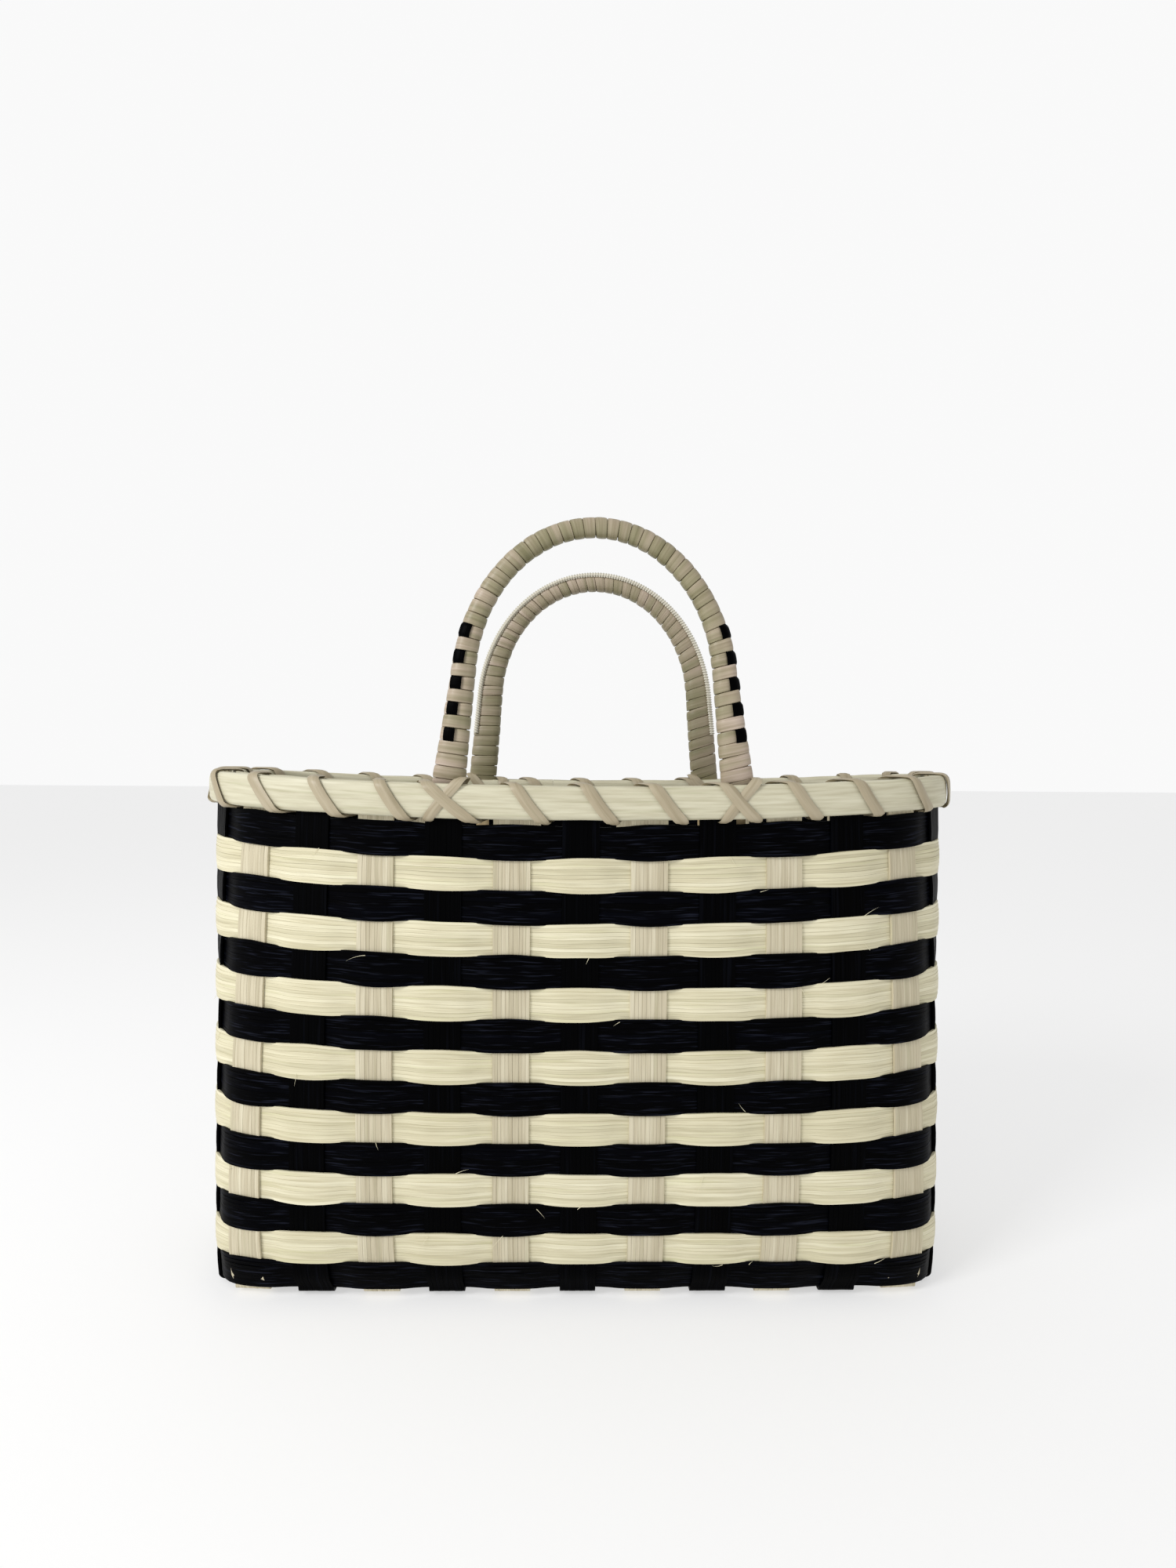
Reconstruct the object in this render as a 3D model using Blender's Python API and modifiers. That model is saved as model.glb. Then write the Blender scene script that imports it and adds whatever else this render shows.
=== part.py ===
"""Woven market basket: an oblong splint basket in two colours, with a lashed cane rim and two arched handles.

Frame: +X along the long side, -Y is the front, +Z up, origin under the middle of the base.

The wall is a mid-surface that everything else is set off from. A place on it is a number of stake pitches
round from the middle of the front (+X way round), and a level, counted in weaver rows from the bottom of the
wall. Eleven cross stakes run down the front, across the base and up the back. Three long stakes do the same
lengthwise. Fifteen weavers go round them in plain weave, black and natural in turn.
"""

import functools
import math

import bpy
import numpy as np
from mathutils import Vector

# Wall
BASE_HALF_LENGTH = 0.1607
BASE_HALF_DEPTH = 0.0489
BASE_SQUARENESS = 8.2  # superellipse exponent: 2 is an ellipse, more is squarer
RIM_HALF_LENGTH = 0.1681
RIM_HALF_DEPTH = 0.0663
RIM_SQUARENESS = 2.6
DEPTH_FLARE_POWER = 0.5  # the long walls bulge early, the short ones evenly
SADDLE_RISE = 0.0069  # how much higher the top weaver is at its two ends than at mid-length
SADDLE_POWER = 1.5

# Weave
CROSS_STAKES = 11
LONG_STAKES = 3
STAKES_ROUND = 2 * (CROSS_STAKES + LONG_STAKES)
WEAVERS = 15
BOTTOM_ROW_HEIGHT = 0.01328
TOP_ROW_HEIGHT = 0.01372
ROW_GAP = 0.00035
STAKE_WIDTH = 0.0155
SPLINT_THICKNESS = 0.0012
WEAVE_OFFSET = 0.0017  # middle of a weaver from the middle of a stake, on either side
FLAT_HALF = 0.0085  # half of the flat stretch where a weaver crosses a stake
BEND_RADIUS = 0.003  # stakes turning from the base up into the wall
BEND_STEPS = 3
BEND_LIFT = 0.7  # height of the bend as a share of its radius
BASE_Z = WEAVE_OFFSET + SPLINT_THICKNESS / 2
FIRST_ROW_Z = BASE_Z + 0.0024

# Rim, as heights above the top weaver
BAND_BOTTOM = 0.0027
BAND_HEIGHT = 0.0141
BAND_TOP = BAND_BOTTOM + BAND_HEIGHT
OUTER_BAND = (0.0009, 0.0048)  # from its back to its crown, outwards from the wall
INNER_BAND = (-0.0049, -0.0086)
BAND_SHOULDER = 0.0011  # how far the crown falls back at the band's upper and lower edges
RIM_SETTLE = 0.0015  # how much closer the bands sit to the top weaver at the two ends
STAKE_TOP = BAND_TOP - 0.0018

# Lashing and handle ties
CANE_THICKNESS = 0.0006
LASHING_LAYER = 0.0015
TIE_LAYER = 0.0006
LASHING_HALF_WIDTH = (0.0022, 0.0034)  # along the rim: where it threads the wall, and elsewhere
LASHING_RUN = 0.0125  # how far each turn slants along the rim on the outside
LASHING_TOP_RUN = 0.004
LASHING_CLEARANCE = 0.0016  # beside a handle's tongue
TIE_HALF_WIDTH = 0.0018
TIE_CLEARANCE = 0.0004  # beside a stake or a handle's tongue

# Handles
FRONT = -1
REAR = 1
HANDLE_SHIFT = {FRONT: 0.0052, REAR: 0.0080}  # both are lashed on to the right of the middle
TONGUE_OFFSET = -0.0036
TONGUE_WIDTH = 0.0070
TONGUE_THICKNESS = 0.0020
TONGUE_DEPTH = 0.030  # below the top weaver
ARCH_CENTRE = 0.040  # heights above the rim
ARCH_HALF_WIDTH = {FRONT: 0.0551, REAR: 0.0567}  # bent by hand, so not quite alike
ARCH_HEIGHT = {FRONT: 0.0679, REAR: 0.0670}
LEG_TOP = 0.046  # where the leaning legs run into the arch
LEG_LEAN = {FRONT: 0.130, REAR: 0.085}
LEG_SHARE = 0.32  # of the steps along half a handle
WRAP_START = 0.0034
WRAP_WIDTHS = {
    FRONT: ((0.0, 0.0142), (0.020, 0.0124), (0.045, 0.0104), (0.070, 0.0092), (0.108, 0.0084)),
    REAR: ((0.0, 0.0146), (0.030, 0.0140), (0.050, 0.0130), (0.070, 0.0115), (0.108, 0.0090)),
}
WRAP_DEPTHS = ((0.0, 0.0078), (0.022, 0.0090), (0.108, 0.0090))
WRAP_THICKNESS = 0.0009
WRAP_CLEARANCE = 0.0005
HANDLE_SECTION_POWER = 2.8
ACCENT_SPAN = (0.017, 0.078)
ACCENT_WIDTH = 0.0048
ACCENT_THICKNESS = 0.0006
ACCENT_SHIFT = {-1: 0.0018, 1: 0.0028}  # outwards from the centre line of the left and the right leg
BEAD_RADIUS = 0.0008
BEAD_START = 0.004

MIDDLE = CROSS_STAKES // 2
SIDE_MIDDLE = STAKES_ROUND // 4
WALL_KNOTS = (0, 1, 3, 5, 7, 9, 11, 13, WEAVERS)
QUARTER_SAMPLES = 4001
TANGENT_STEP = 0.02  # stake pitches, either way, that the wall's direction is measured over

# Colours and roughness
NATURAL_SPLINT = ((0.80, 0.72, 0.50), 0.55)
BLACK_SPLINT = ((0.012, 0.013, 0.02), 0.45)
RIM_CANE = ((0.82, 0.74, 0.53), 0.5)
LASHING_CANE = ((0.74, 0.63, 0.44), 0.42)
HANDLE_CANE = ((0.60, 0.50, 0.37), 0.45)
RATTAN_CORE = ((0.62, 0.48, 0.30), 0.6)


def collection(name):
    """An empty collection in the scene."""
    found = bpy.data.collections.new(name)
    bpy.context.scene.collection.children.link(found)
    return found


def dress(obj, finish):
    """Gives obj a material of its own in that finish."""
    colour, roughness = finish
    material = bpy.data.materials.new(obj.name + "_finish")
    material.use_nodes = True
    shader = material.node_tree.nodes["Principled BSDF"]
    shader.inputs["Base Color"].default_value = (*colour, 1.0)
    shader.inputs["Roughness"].default_value = roughness
    shader.inputs["Metallic"].default_value = 0.0
    obj.data.materials.append(material)


def add_mesh(name, points, faces, finish):
    """A smooth-shaded mesh object of those points and faces."""
    mesh = bpy.data.meshes.new(name)
    mesh.from_pydata([tuple(p) for p in points], [], faces)
    mesh.update()
    mesh.shade_smooth()
    obj = bpy.data.objects.new(name, mesh)
    parts.objects.link(obj)
    dress(obj, finish)
    return obj


def add_strip(name, edges, thickness, finish, closed=False):
    """A flat strip: edges are (left, right) pairs of points along it, and Solidify gives it its thickness."""
    points = [p for pair in edges for p in pair]
    count = len(edges)
    faces = []
    for i in range(count if closed else count - 1):
        a = 2 * i
        b = 2 * ((i + 1) % count)
        faces.append((a, a + 1, b + 1, b))
    obj = add_mesh(name, points, faces, finish)
    solid = obj.modifiers.new("thickness", "SOLIDIFY")
    solid.thickness = thickness
    solid.offset = 0.0
    solid.use_even_offset = True
    return obj


def loft_faces(stations, sides, closed):
    """The side faces between successive sections that each have that many points."""
    faces = []
    for i in range(stations if closed else stations - 1):
        a = i * sides
        b = (i + 1) % stations * sides
        for k in range(sides):
            n = (k + 1) % sides
            faces.append((a + k, a + n, b + n, b + k))
    return faces


def add_loft(name, sections, finish, closed=False):
    """A solid through sections that are loops of points, all with the same number of them."""
    sides = len(sections[0])
    faces = loft_faces(len(sections), sides, closed)
    if not closed:
        faces.append(tuple(reversed(range(sides))))
        faces.append(tuple(range((len(sections) - 1) * sides, len(sections) * sides)))
    return add_mesh(name, [p for loop in sections for p in loop], faces, finish)


def level_height(level):
    """Height of a row boundary at mid-length, rows growing slightly taller upwards."""
    growth = (TOP_ROW_HEIGHT - BOTTOM_ROW_HEIGHT) / (2 * WEAVERS)
    return FIRST_ROW_Z + level * (BOTTOM_ROW_HEIGHT + growth * level)


@functools.lru_cache(maxsize=None)
def quarter_outline(level):
    """A quarter of the wall's outline at a level, from the front's middle round, with its arc length."""
    rise = level / WEAVERS
    half_length = BASE_HALF_LENGTH + (RIM_HALF_LENGTH - BASE_HALF_LENGTH) * rise
    half_depth = BASE_HALF_DEPTH + (RIM_HALF_DEPTH - BASE_HALF_DEPTH) * rise**DEPTH_FLARE_POWER
    power = 2 * (1 / BASE_SQUARENESS + (1 / RIM_SQUARENESS - 1 / BASE_SQUARENESS) * rise)
    angle = np.linspace(0, math.pi / 2, QUARTER_SAMPLES)
    x = half_length * np.abs(np.sin(angle)) ** power
    y = -half_depth * np.abs(np.cos(angle)) ** power
    run = np.concatenate([[0.0], np.cumsum(np.hypot(np.diff(x), np.diff(y)))])
    return x, y, run


def pitch(level):
    """Distance between stakes, measured round the wall."""
    return quarter_outline(level)[2][-1] / SIDE_MIDDLE


def outline_point(place, level):
    """The wall's mid-surface at a level, by folding the place back into the first quarter."""
    x, y, run = quarter_outline(level)
    turn = place % STAKES_ROUND
    right = turn <= STAKES_ROUND / 2
    turn = turn if right else STAKES_ROUND - turn
    front = turn <= SIDE_MIDDLE
    turn = turn if front else STAKES_ROUND / 2 - turn
    along = turn * pitch(level)
    px = float(np.interp(along, run, x))
    py = float(np.interp(along, run, y))
    return Vector((px if right else -px, py if front else -py, 0.0))


@functools.lru_cache(maxsize=None)
def knot_frame(place, level):
    """Point on the wall, and the unit directions along the wall and out of it."""
    point = outline_point(place, level)
    ahead = outline_point(place + TANGENT_STEP, level)
    along = (ahead - outline_point(place - TANGENT_STEP, level)).normalized()
    out = Vector((along.y, -along.x, 0.0))
    rise = (level / WEAVERS) ** SADDLE_POWER * SADDLE_RISE
    point.z = level_height(level) + rise * (point.x / RIM_HALF_LENGTH) ** 2
    return point, along, out


def wall_frame(place, level):
    """As knot_frame, at any level: the wall is straight from each knot to the next."""
    lower = max(k for k in WALL_KNOTS[:-1] if k <= level)
    upper = WALL_KNOTS[WALL_KNOTS.index(lower) + 1]
    share = (level_height(level) - level_height(lower)) / (level_height(upper) - level_height(lower))
    low = knot_frame(place, lower)
    high = knot_frame(place, upper)
    return tuple(a.lerp(b, share) for a, b in zip(low, high))


def wall_pair(place, level, width):
    """The two edges of an upright strip of that width at a level."""
    point, along, _ = wall_frame(place, level)
    return point - along * width / 2, point + along * width / 2


def wall_climb(place):
    """Edge pairs of a stake going up the wall from its lowest knot into the rim."""
    pairs = [wall_pair(place, level, STAKE_WIDTH) for level in WALL_KNOTS]
    top = Vector((0, 0, STAKE_TOP - rim_settle(wall_frame(place, WEAVERS)[0])))
    pairs.append(tuple(p + top for p in pairs[-1]))
    return pairs


def rim_settle(point):
    """How much lower the rim sits at a point than the saddle of the top weaver would have it."""
    return RIM_SETTLE * (point.x / RIM_HALF_LENGTH) ** 2


def base_bend(place):
    """Edge pairs of a stake from the base round into the foot of the wall."""
    left, right = wall_pair(place, 0, STAKE_WIDTH)
    middle = (left + right) / 2
    if is_side(place):
        inward = Vector((-math.copysign(1, middle.x), 0, 0))
        base_along = Vector((0, 1, 0))
    else:
        inward = Vector((0, -math.copysign(1, middle.y), 0))
        base_along = Vector((1, 0, 0))
    base_along *= math.copysign(1, base_along.dot(right - left))
    pairs = []
    for step in range(BEND_STEPS):
        share = step / BEND_STEPS
        angle = share * math.pi / 2
        centre = middle + inward * BEND_RADIUS * (1 - math.sin(angle))
        centre.z = BASE_Z + BEND_RADIUS * (1 - math.cos(angle)) * BEND_LIFT
        along = base_along.lerp((right - left).normalized(), share)
        pairs.append((centre - along * STAKE_WIDTH / 2, centre + along * STAKE_WIDTH / 2))
    return pairs


def is_side(place):
    """Whether a place is on one of the basket's two short ends."""
    from_front = abs((place + STAKES_ROUND / 2) % STAKES_ROUND - STAKES_ROUND / 2)
    return abs(from_front - SIDE_MIDDLE) < LONG_STAKES / 2


def splint_finish(number):
    """Stakes and weavers alternate in colour."""
    return NATURAL_SPLINT if number % 2 else BLACK_SPLINT


def make_cross_stake(j):
    """Front rim, down the front wall, across the base, up the back wall to the rim."""
    front = base_bend(j) + wall_climb(j)
    back = base_bend(STAKES_ROUND / 2 - j) + wall_climb(STAKES_ROUND / 2 - j)
    pairs = list(reversed(front)) + [(right, left) for left, right in back]
    add_strip(f"cross_stake_{j + MIDDLE + 1:02d}", pairs, SPLINT_THICKNESS, splint_finish(j))


def base_wave(i, y):
    """Edge pairs of a long stake along the base, passing under and over the cross stakes in turn."""
    pairs = []
    for j in range(-MIDDLE, MIDDLE + 1):
        x = wall_frame(j, 0)[0].x
        z = BASE_Z + (-WEAVE_OFFSET if (i + j) % 2 == 0 else WEAVE_OFFSET)
        for end in (-FLAT_HALF, FLAT_HALF):
            edges = (y + STAKE_WIDTH / 2, y - STAKE_WIDTH / 2)
            pairs.append(tuple(Vector((x + end, edge, z)) for edge in edges))
    return pairs


def make_long_stake(n):
    """Left rim, down the left end, along the base, up the right end to the rim."""
    i = SIDE_MIDDLE - 1 + n
    right = base_bend(i) + wall_climb(i)
    left = base_bend(STAKES_ROUND - i) + wall_climb(STAKES_ROUND - i)
    y = wall_frame(i, 0)[0].y
    pairs = list(reversed(left)) + base_wave(i, y) + [(b, a) for a, b in right]
    add_strip(f"long_stake_{n + 1}", pairs, SPLINT_THICKNESS, splint_finish(i))


def make_weaver(row):
    """One weaver right round the wall, outside every other stake and inside the ones between."""
    pairs = []
    for i in range(STAKES_ROUND):
        side = WEAVE_OFFSET if (i + row) % 2 else -WEAVE_OFFSET
        for end in (-FLAT_HALF, FLAT_HALF):
            pair = []
            for level, trim in ((row + 1, -ROW_GAP / 2), (row, ROW_GAP / 2)):
                point, along, out = wall_frame(i, level)
                pair.append(point + along * end + out * side + Vector((0, 0, trim)))
            pairs.append(tuple(pair))
    add_strip(f"weaver_{row + 1:02d}", pairs, SPLINT_THICKNESS, splint_finish(row), closed=True)


def rim_point(place, offset, height):
    """A point off the wall at the rim, which is a flat facet behind each stake and between each two."""
    flat = FLAT_HALF / pitch(WEAVERS)
    nearest = round(place)
    within = place - nearest
    if abs(within) <= flat:
        corners = ((nearest, -1), (nearest, 1))
        share = (within + flat) / (2 * flat)
    else:
        nearest = math.floor(place)
        corners = ((nearest, 1), (nearest + 1, -1))
        share = (place - nearest - flat) / (1 - 2 * flat)
    ends = []
    for stake, side in corners:
        point, along, out = wall_frame(stake % STAKES_ROUND, WEAVERS)
        ends.append(point + along * side * FLAT_HALF + out * offset)
    point = ends[0].lerp(ends[1], share)
    settle = rim_settle(point) * min(height / BAND_BOTTOM, 1.0)
    return point + Vector((0, 0, height - settle))


def make_rim_band(name, back, crown):
    """A flat-backed cane band with a rounded face, all round the rim."""
    shoulder = crown - math.copysign(BAND_SHOULDER, crown)
    slope = BAND_HEIGHT / 4
    section = [
        (back, BAND_BOTTOM),
        (shoulder, BAND_BOTTOM + BAND_SHOULDER / 4),
        (crown, BAND_BOTTOM + slope),
        (crown, BAND_TOP - slope),
        (shoulder, BAND_TOP - BAND_SHOULDER / 4),
        (back, BAND_TOP),
    ]
    if crown > 0:
        section.reverse()
    flat = FLAT_HALF / pitch(WEAVERS)
    places = [i + end for i in range(STAKES_ROUND) for end in (-flat, flat)]
    sections = [[rim_point(place, o, h) for o, h in section] for place in places]
    add_loft(name, sections, RIM_CANE, closed=True)


def rim_loop(layer):
    """Corners of a strip's way round both bands, from outside bottom over the top to inside bottom."""
    slope = BAND_HEIGHT / 4
    outer = OUTER_BAND[1]
    inner = INNER_BAND[1]
    under = BAND_BOTTOM - layer
    edge = BAND_SHOULDER - layer / 2
    return [
        (outer - edge, under),
        (outer + layer, BAND_BOTTOM + slope),
        (outer + layer, (BAND_BOTTOM + BAND_TOP) / 2),
        (outer + layer, BAND_TOP - slope),
        (outer - edge + layer / 4, BAND_TOP + layer),
        ((outer + inner) / 2, BAND_TOP + layer),
        (inner + edge - layer / 4, BAND_TOP + layer),
        (inner - layer, BAND_TOP - slope),
        (inner - layer, BAND_BOTTOM + slope),
        (inner + edge, under),
    ]


def thread_place(gap):
    """Where the lashing threads the wall between two stakes: midway between what stands on either side."""
    half_stake = STAKE_WIDTH / 2 / pitch(WEAVERS)
    half_tongue = TONGUE_WIDTH / 2 / pitch(WEAVERS)
    low = gap - 0.5 + half_stake
    high = gap + 0.5 - half_stake
    for facing in (FRONT, REAR):
        for side in (-1, 1):
            past = (leg_place(facing, side) - gap + 0.5) % STAKES_ROUND - 0.5
            if 0 < past < 0.5:
                high = min(high, gap + past - half_tongue)
            elif -0.5 < past <= 0:
                low = max(low, gap + past + half_tongue)
    return (low + high) / 2


def outside_run(start):
    """How many stake pitches a turn slants on the outside: enough to pass a handle leg in its way."""
    run = LASHING_RUN
    clear = TONGUE_WIDTH / 2 + LASHING_HALF_WIDTH[1] + LASHING_CLEARANCE
    for facing in (FRONT, REAR):
        for side in (-1, 1):
            ahead = (start - leg_place(facing, side)) % STAKES_ROUND * pitch(WEAVERS)
            if run < ahead + clear and run + LASHING_TOP_RUN > ahead - clear:
                run = ahead + clear
    return run / pitch(WEAVERS)


def make_lashing():
    """One cane spiralling round both bands, once for each gap between stakes."""
    loop = rim_loop(LASHING_LAYER)
    heights = [h for _, h in loop]
    top_first = heights.index(max(heights))
    top_last = len(loop) - 1 - heights[::-1].index(max(heights))
    pairs = []
    for turn in range(STAKES_ROUND):
        start = thread_place(0.5 - turn)
        end = thread_place(-0.5 - turn)
        top_start = start - outside_run(start)
        top_end = top_start - LASHING_TOP_RUN / pitch(WEAVERS)
        for k, (offset, height) in enumerate(loop):
            if k <= top_first:
                climb = (height - heights[0]) / (heights[top_first] - heights[0])
                place = start * (1 - climb) + top_start * climb
            elif k <= top_last:
                across = (k - top_first) / (top_last - top_first)
                place = top_start * (1 - across) + top_end * across
            else:
                fall = (heights[top_last] - height) / (heights[top_last] - heights[-1])
                place = top_end * (1 - fall) + end * fall
            side = LASHING_HALF_WIDTH[0 if height < BAND_BOTTOM else 1] / pitch(WEAVERS)
            pairs.append(tuple(rim_point(edge, offset, height) for edge in (place - side, place + side)))
    add_strip("rim_lashing", pairs, CANE_THICKNESS, LASHING_CANE, closed=True)


def place_at_x(x):
    """The place on the front rim that has this x."""
    xs, _, run = quarter_outline(WEAVERS)
    return math.copysign(float(np.interp(abs(x), xs, run)) / pitch(WEAVERS), x)


def leg_place(facing, side):
    """The place of a handle leg; facing is FRONT or REAR, and side -1 left or 1 right."""
    foot = ARCH_HALF_WIDTH[facing] + LEG_LEAN[facing] * LEG_TOP
    front_place = place_at_x(HANDLE_SHIFT[facing] + side * foot)
    return front_place if facing == FRONT else STAKES_ROUND / 2 - front_place


def make_tie(name, facing, side):
    """A cane crossing under the lashing to bind a handle leg to the rim: a slanting loop round both bands."""
    leg = leg_place(facing, side)
    beside = TIE_HALF_WIDTH + TIE_CLEARANCE
    past_stake = (STAKE_WIDTH / 2 + beside) / pitch(WEAVERS)
    past_tongue = (TONGUE_WIDTH / 2 + beside) / pitch(WEAVERS)
    low = min(round(leg) - past_stake, leg - past_tongue)
    high = leg + past_tongue
    loop = rim_loop(TIE_LAYER)
    lowest = loop[0][1]
    highest = max(h for _, h in loop)
    pairs = []
    for offset, height in loop:
        place = low + (high - low) * (height - lowest) / (highest - lowest)
        half = TIE_HALF_WIDTH / pitch(WEAVERS)
        pairs.append(tuple(rim_point(edge, offset, height) for edge in (place - half, place + half)))
    add_strip(name, pairs, CANE_THICKNESS, LASHING_CANE, closed=True)


def ramp(table, height):
    """A size that changes evenly between the heights given in a table."""
    heights, sizes = zip(*table)
    return float(np.interp(height, heights, sizes))


def arch_path(facing, start, steps):
    """Centre line of a handle above the rim, from left leg to right, as (x, height, outward) triples.

    It is an upright half ellipse whose ends run into legs that spread slightly downwards.
    """
    half_width = ARCH_HALF_WIDTH[facing]
    rise = ARCH_HEIGHT[facing]
    lean = LEG_LEAN[facing]
    spring = math.asin((LEG_TOP - ARCH_CENTRE) / rise)
    path = []
    for share in np.linspace(-1, 1, steps):
        reach = abs(share)
        if reach > 1 - LEG_SHARE:
            height = start + (LEG_TOP - start) * (1 - reach) / LEG_SHARE
            x = half_width * math.cos(spring) + lean * (LEG_TOP - height)
            outward = Vector((1.0, 0.0, lean)).normalized()
        else:
            arc = math.pi / 2 - (math.pi / 2 - spring) * reach / (1 - LEG_SHARE)
            height = ARCH_CENTRE + rise * math.sin(arc)
            x = half_width * math.cos(arc)
            outward = Vector((math.cos(arc) / half_width, 0.0, math.sin(arc) / rise)).normalized()
        sign = -1 if share < 0 else 1
        path.append((x * sign, height, Vector((outward.x * sign, 0, outward.z))))
    return path


def round_section(width, depth, sides):
    """Corners of a rounded oblong section, as (across, through) pairs."""
    corners = []
    for k in range(sides):
        angle = -2 * math.pi * (k + 0.5) / sides
        c = math.cos(angle)
        s = math.sin(angle)
        across = math.copysign(abs(c) ** (2 / HANDLE_SECTION_POWER), c) * width / 2
        through = math.copysign(abs(s) ** (2 / HANDLE_SECTION_POWER), s) * depth / 2
        corners.append((across, through))
    return corners


def rim_top_z():
    """Height of the rim at mid-length."""
    return level_height(WEAVERS) + BAND_TOP


def handle_plane(facing):
    """The y of a handle's mid-plane, set by where its legs pass between the wall and the inner band."""
    place = leg_place(facing, 1)
    return rim_point(place, TONGUE_OFFSET, 0).y


def handle_sections(facing, path, sides, inset):
    """Sections of a handle above the rim, drawn in by inset from the wrapping's outer surface."""
    y = handle_plane(facing)
    sections = []
    for x, height, outward in path:
        width = ramp(WRAP_WIDTHS[facing], height) - 2 * inset
        depth = ramp(WRAP_DEPTHS, height) - 2 * inset
        middle = Vector((HANDLE_SHIFT[facing] + x, y, rim_top_z() + height))
        corners = round_section(width, depth, sides)
        sections.append([middle + outward * a + Vector((0, b, 0)) for a, b in corners])
    return sections


def tongue_sections(facing, side, sides):
    """Sections of the flat tongue that runs down inside the wall, from its foot upwards."""
    place = leg_place(facing, side)
    sections = []
    for height in (-TONGUE_DEPTH, -TONGUE_DEPTH / 2, 0.0, BAND_TOP + WRAP_START / 2):
        level = WEAVERS + min(height, 0.0) / TOP_ROW_HEIGHT
        point, along, out = wall_frame(place % STAKES_ROUND, level)
        middle = point + out * TONGUE_OFFSET + Vector((0, 0, max(height, 0.0)))
        along = along * (-facing * side)
        through = out * facing
        corners = round_section(TONGUE_WIDTH, TONGUE_THICKNESS, sides)
        sections.append([middle + along * a + through * b for a, b in corners])
    return sections


def make_handle_core(name, facing):
    """The rattan inside a handle, flattened at each end into a tongue."""
    sides = 8
    inset = WRAP_THICKNESS + WRAP_CLEARANCE
    path = arch_path(facing, WRAP_START * 2, 21)
    arch = handle_sections(facing, path, sides, inset)
    left = tongue_sections(facing, -1, sides)
    right = tongue_sections(facing, 1, sides)
    sections = left + arch + list(reversed(right))
    add_loft(name, sections, RATTAN_CORE)


def make_handle_wrap(name, facing):
    """The cane wound round a handle: a sleeve, open at the foot of each leg."""
    sides = 8
    sections = handle_sections(facing, arch_path(facing, WRAP_START, 25), sides, 0.0)
    points = [p for loop in sections for p in loop]
    obj = add_mesh(name, points, loft_faces(len(sections), sides, False), HANDLE_CANE)
    solid = obj.modifiers.new("thickness", "SOLIDIFY")
    solid.thickness = WRAP_THICKNESS
    solid.offset = -1.0
    solid.use_even_offset = True


def make_accent(name, facing, side):
    """A black strip laid up the outward face of a handle leg."""
    y = handle_plane(facing)
    low, high = ACCENT_SPAN
    legs = [p for p in arch_path(facing, WRAP_START, 41) if p[0] * side > 0 and low <= p[1] <= high]
    pairs = []
    for x, height, outward in sorted(legs, key=lambda p: p[1]):
        through = ramp(WRAP_DEPTHS, height) / 2 + WRAP_CLEARANCE + ACCENT_THICKNESS / 2
        middle = Vector((HANDLE_SHIFT[facing] + x, y + facing * through, rim_top_z() + height))
        middle += outward * ACCENT_SHIFT[side]
        pairs.append((middle - outward * ACCENT_WIDTH / 2, middle + outward * ACCENT_WIDTH / 2))
    add_strip(name, pairs, ACCENT_THICKNESS, BLACK_SPLINT)


def make_bead(name, facing):
    """A thin cord of cane along the outer edge of a handle, on the side that faces the basket's middle."""
    curve = bpy.data.curves.new(name, "CURVE")
    curve.dimensions = "3D"
    curve.bevel_depth = BEAD_RADIUS
    curve.bevel_resolution = 1
    curve.use_fill_caps = True
    spline = curve.splines.new("POLY")
    path = arch_path(facing, BEAD_START, 27)
    spline.points.add(len(path) - 1)
    diagonal = math.sqrt(0.5)
    corner = diagonal ** (2 / HANDLE_SECTION_POWER)
    away = (BEAD_RADIUS + WRAP_CLEARANCE) * diagonal
    for point, (x, height, outward) in zip(spline.points, path):
        across = ramp(WRAP_WIDTHS[facing], height) / 2 * corner + away
        through = ramp(WRAP_DEPTHS, height) / 2 * corner + away
        y = handle_plane(facing) - facing * through
        middle = Vector((HANDLE_SHIFT[facing] + x, y, rim_top_z() + height))
        point.co = (*(middle + outward * across), 1.0)
    obj = bpy.data.objects.new(name, curve)
    parts.objects.link(obj)
    dress(obj, LASHING_CANE)


for old in list(bpy.data.objects):
    bpy.data.objects.remove(old)
parts = collection("woven_market_basket")

for stake in range(-MIDDLE, MIDDLE + 1):
    make_cross_stake(stake)
for stake in range(LONG_STAKES):
    make_long_stake(stake)
for row in range(WEAVERS):
    make_weaver(row)
make_rim_band("rim_outer_band", *OUTER_BAND)
make_rim_band("rim_inner_band", *INNER_BAND)
make_lashing()
for facing, end in ((FRONT, "front"), (REAR, "rear")):
    make_handle_core(f"{end}_handle_core", facing)
    make_handle_wrap(f"{end}_handle_wrap", facing)
    make_bead(f"{end}_handle_bead", facing)
    for side, hand in ((-1, "left"), (1, "right")):
        make_accent(f"{end}_handle_accent_{hand}", facing, side)
        make_tie(f"{end}_{hand}_handle_tie", facing, side)
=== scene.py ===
"""Looks of the woven market basket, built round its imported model.

Frame and wall are the model's own: +X along the long side, -Y is the front, +Z up, in metres. A place is
a number of stake pitches round the wall from the middle of the front (+X way round). A level is a number of
weaver rows up from the foot of the wall. Each stake and weaver is a bundle of fine splints, and each splint
is a closed body.
"""

import functools
import math

import bpy
import numpy as np
from mathutils import Matrix, Vector


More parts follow.
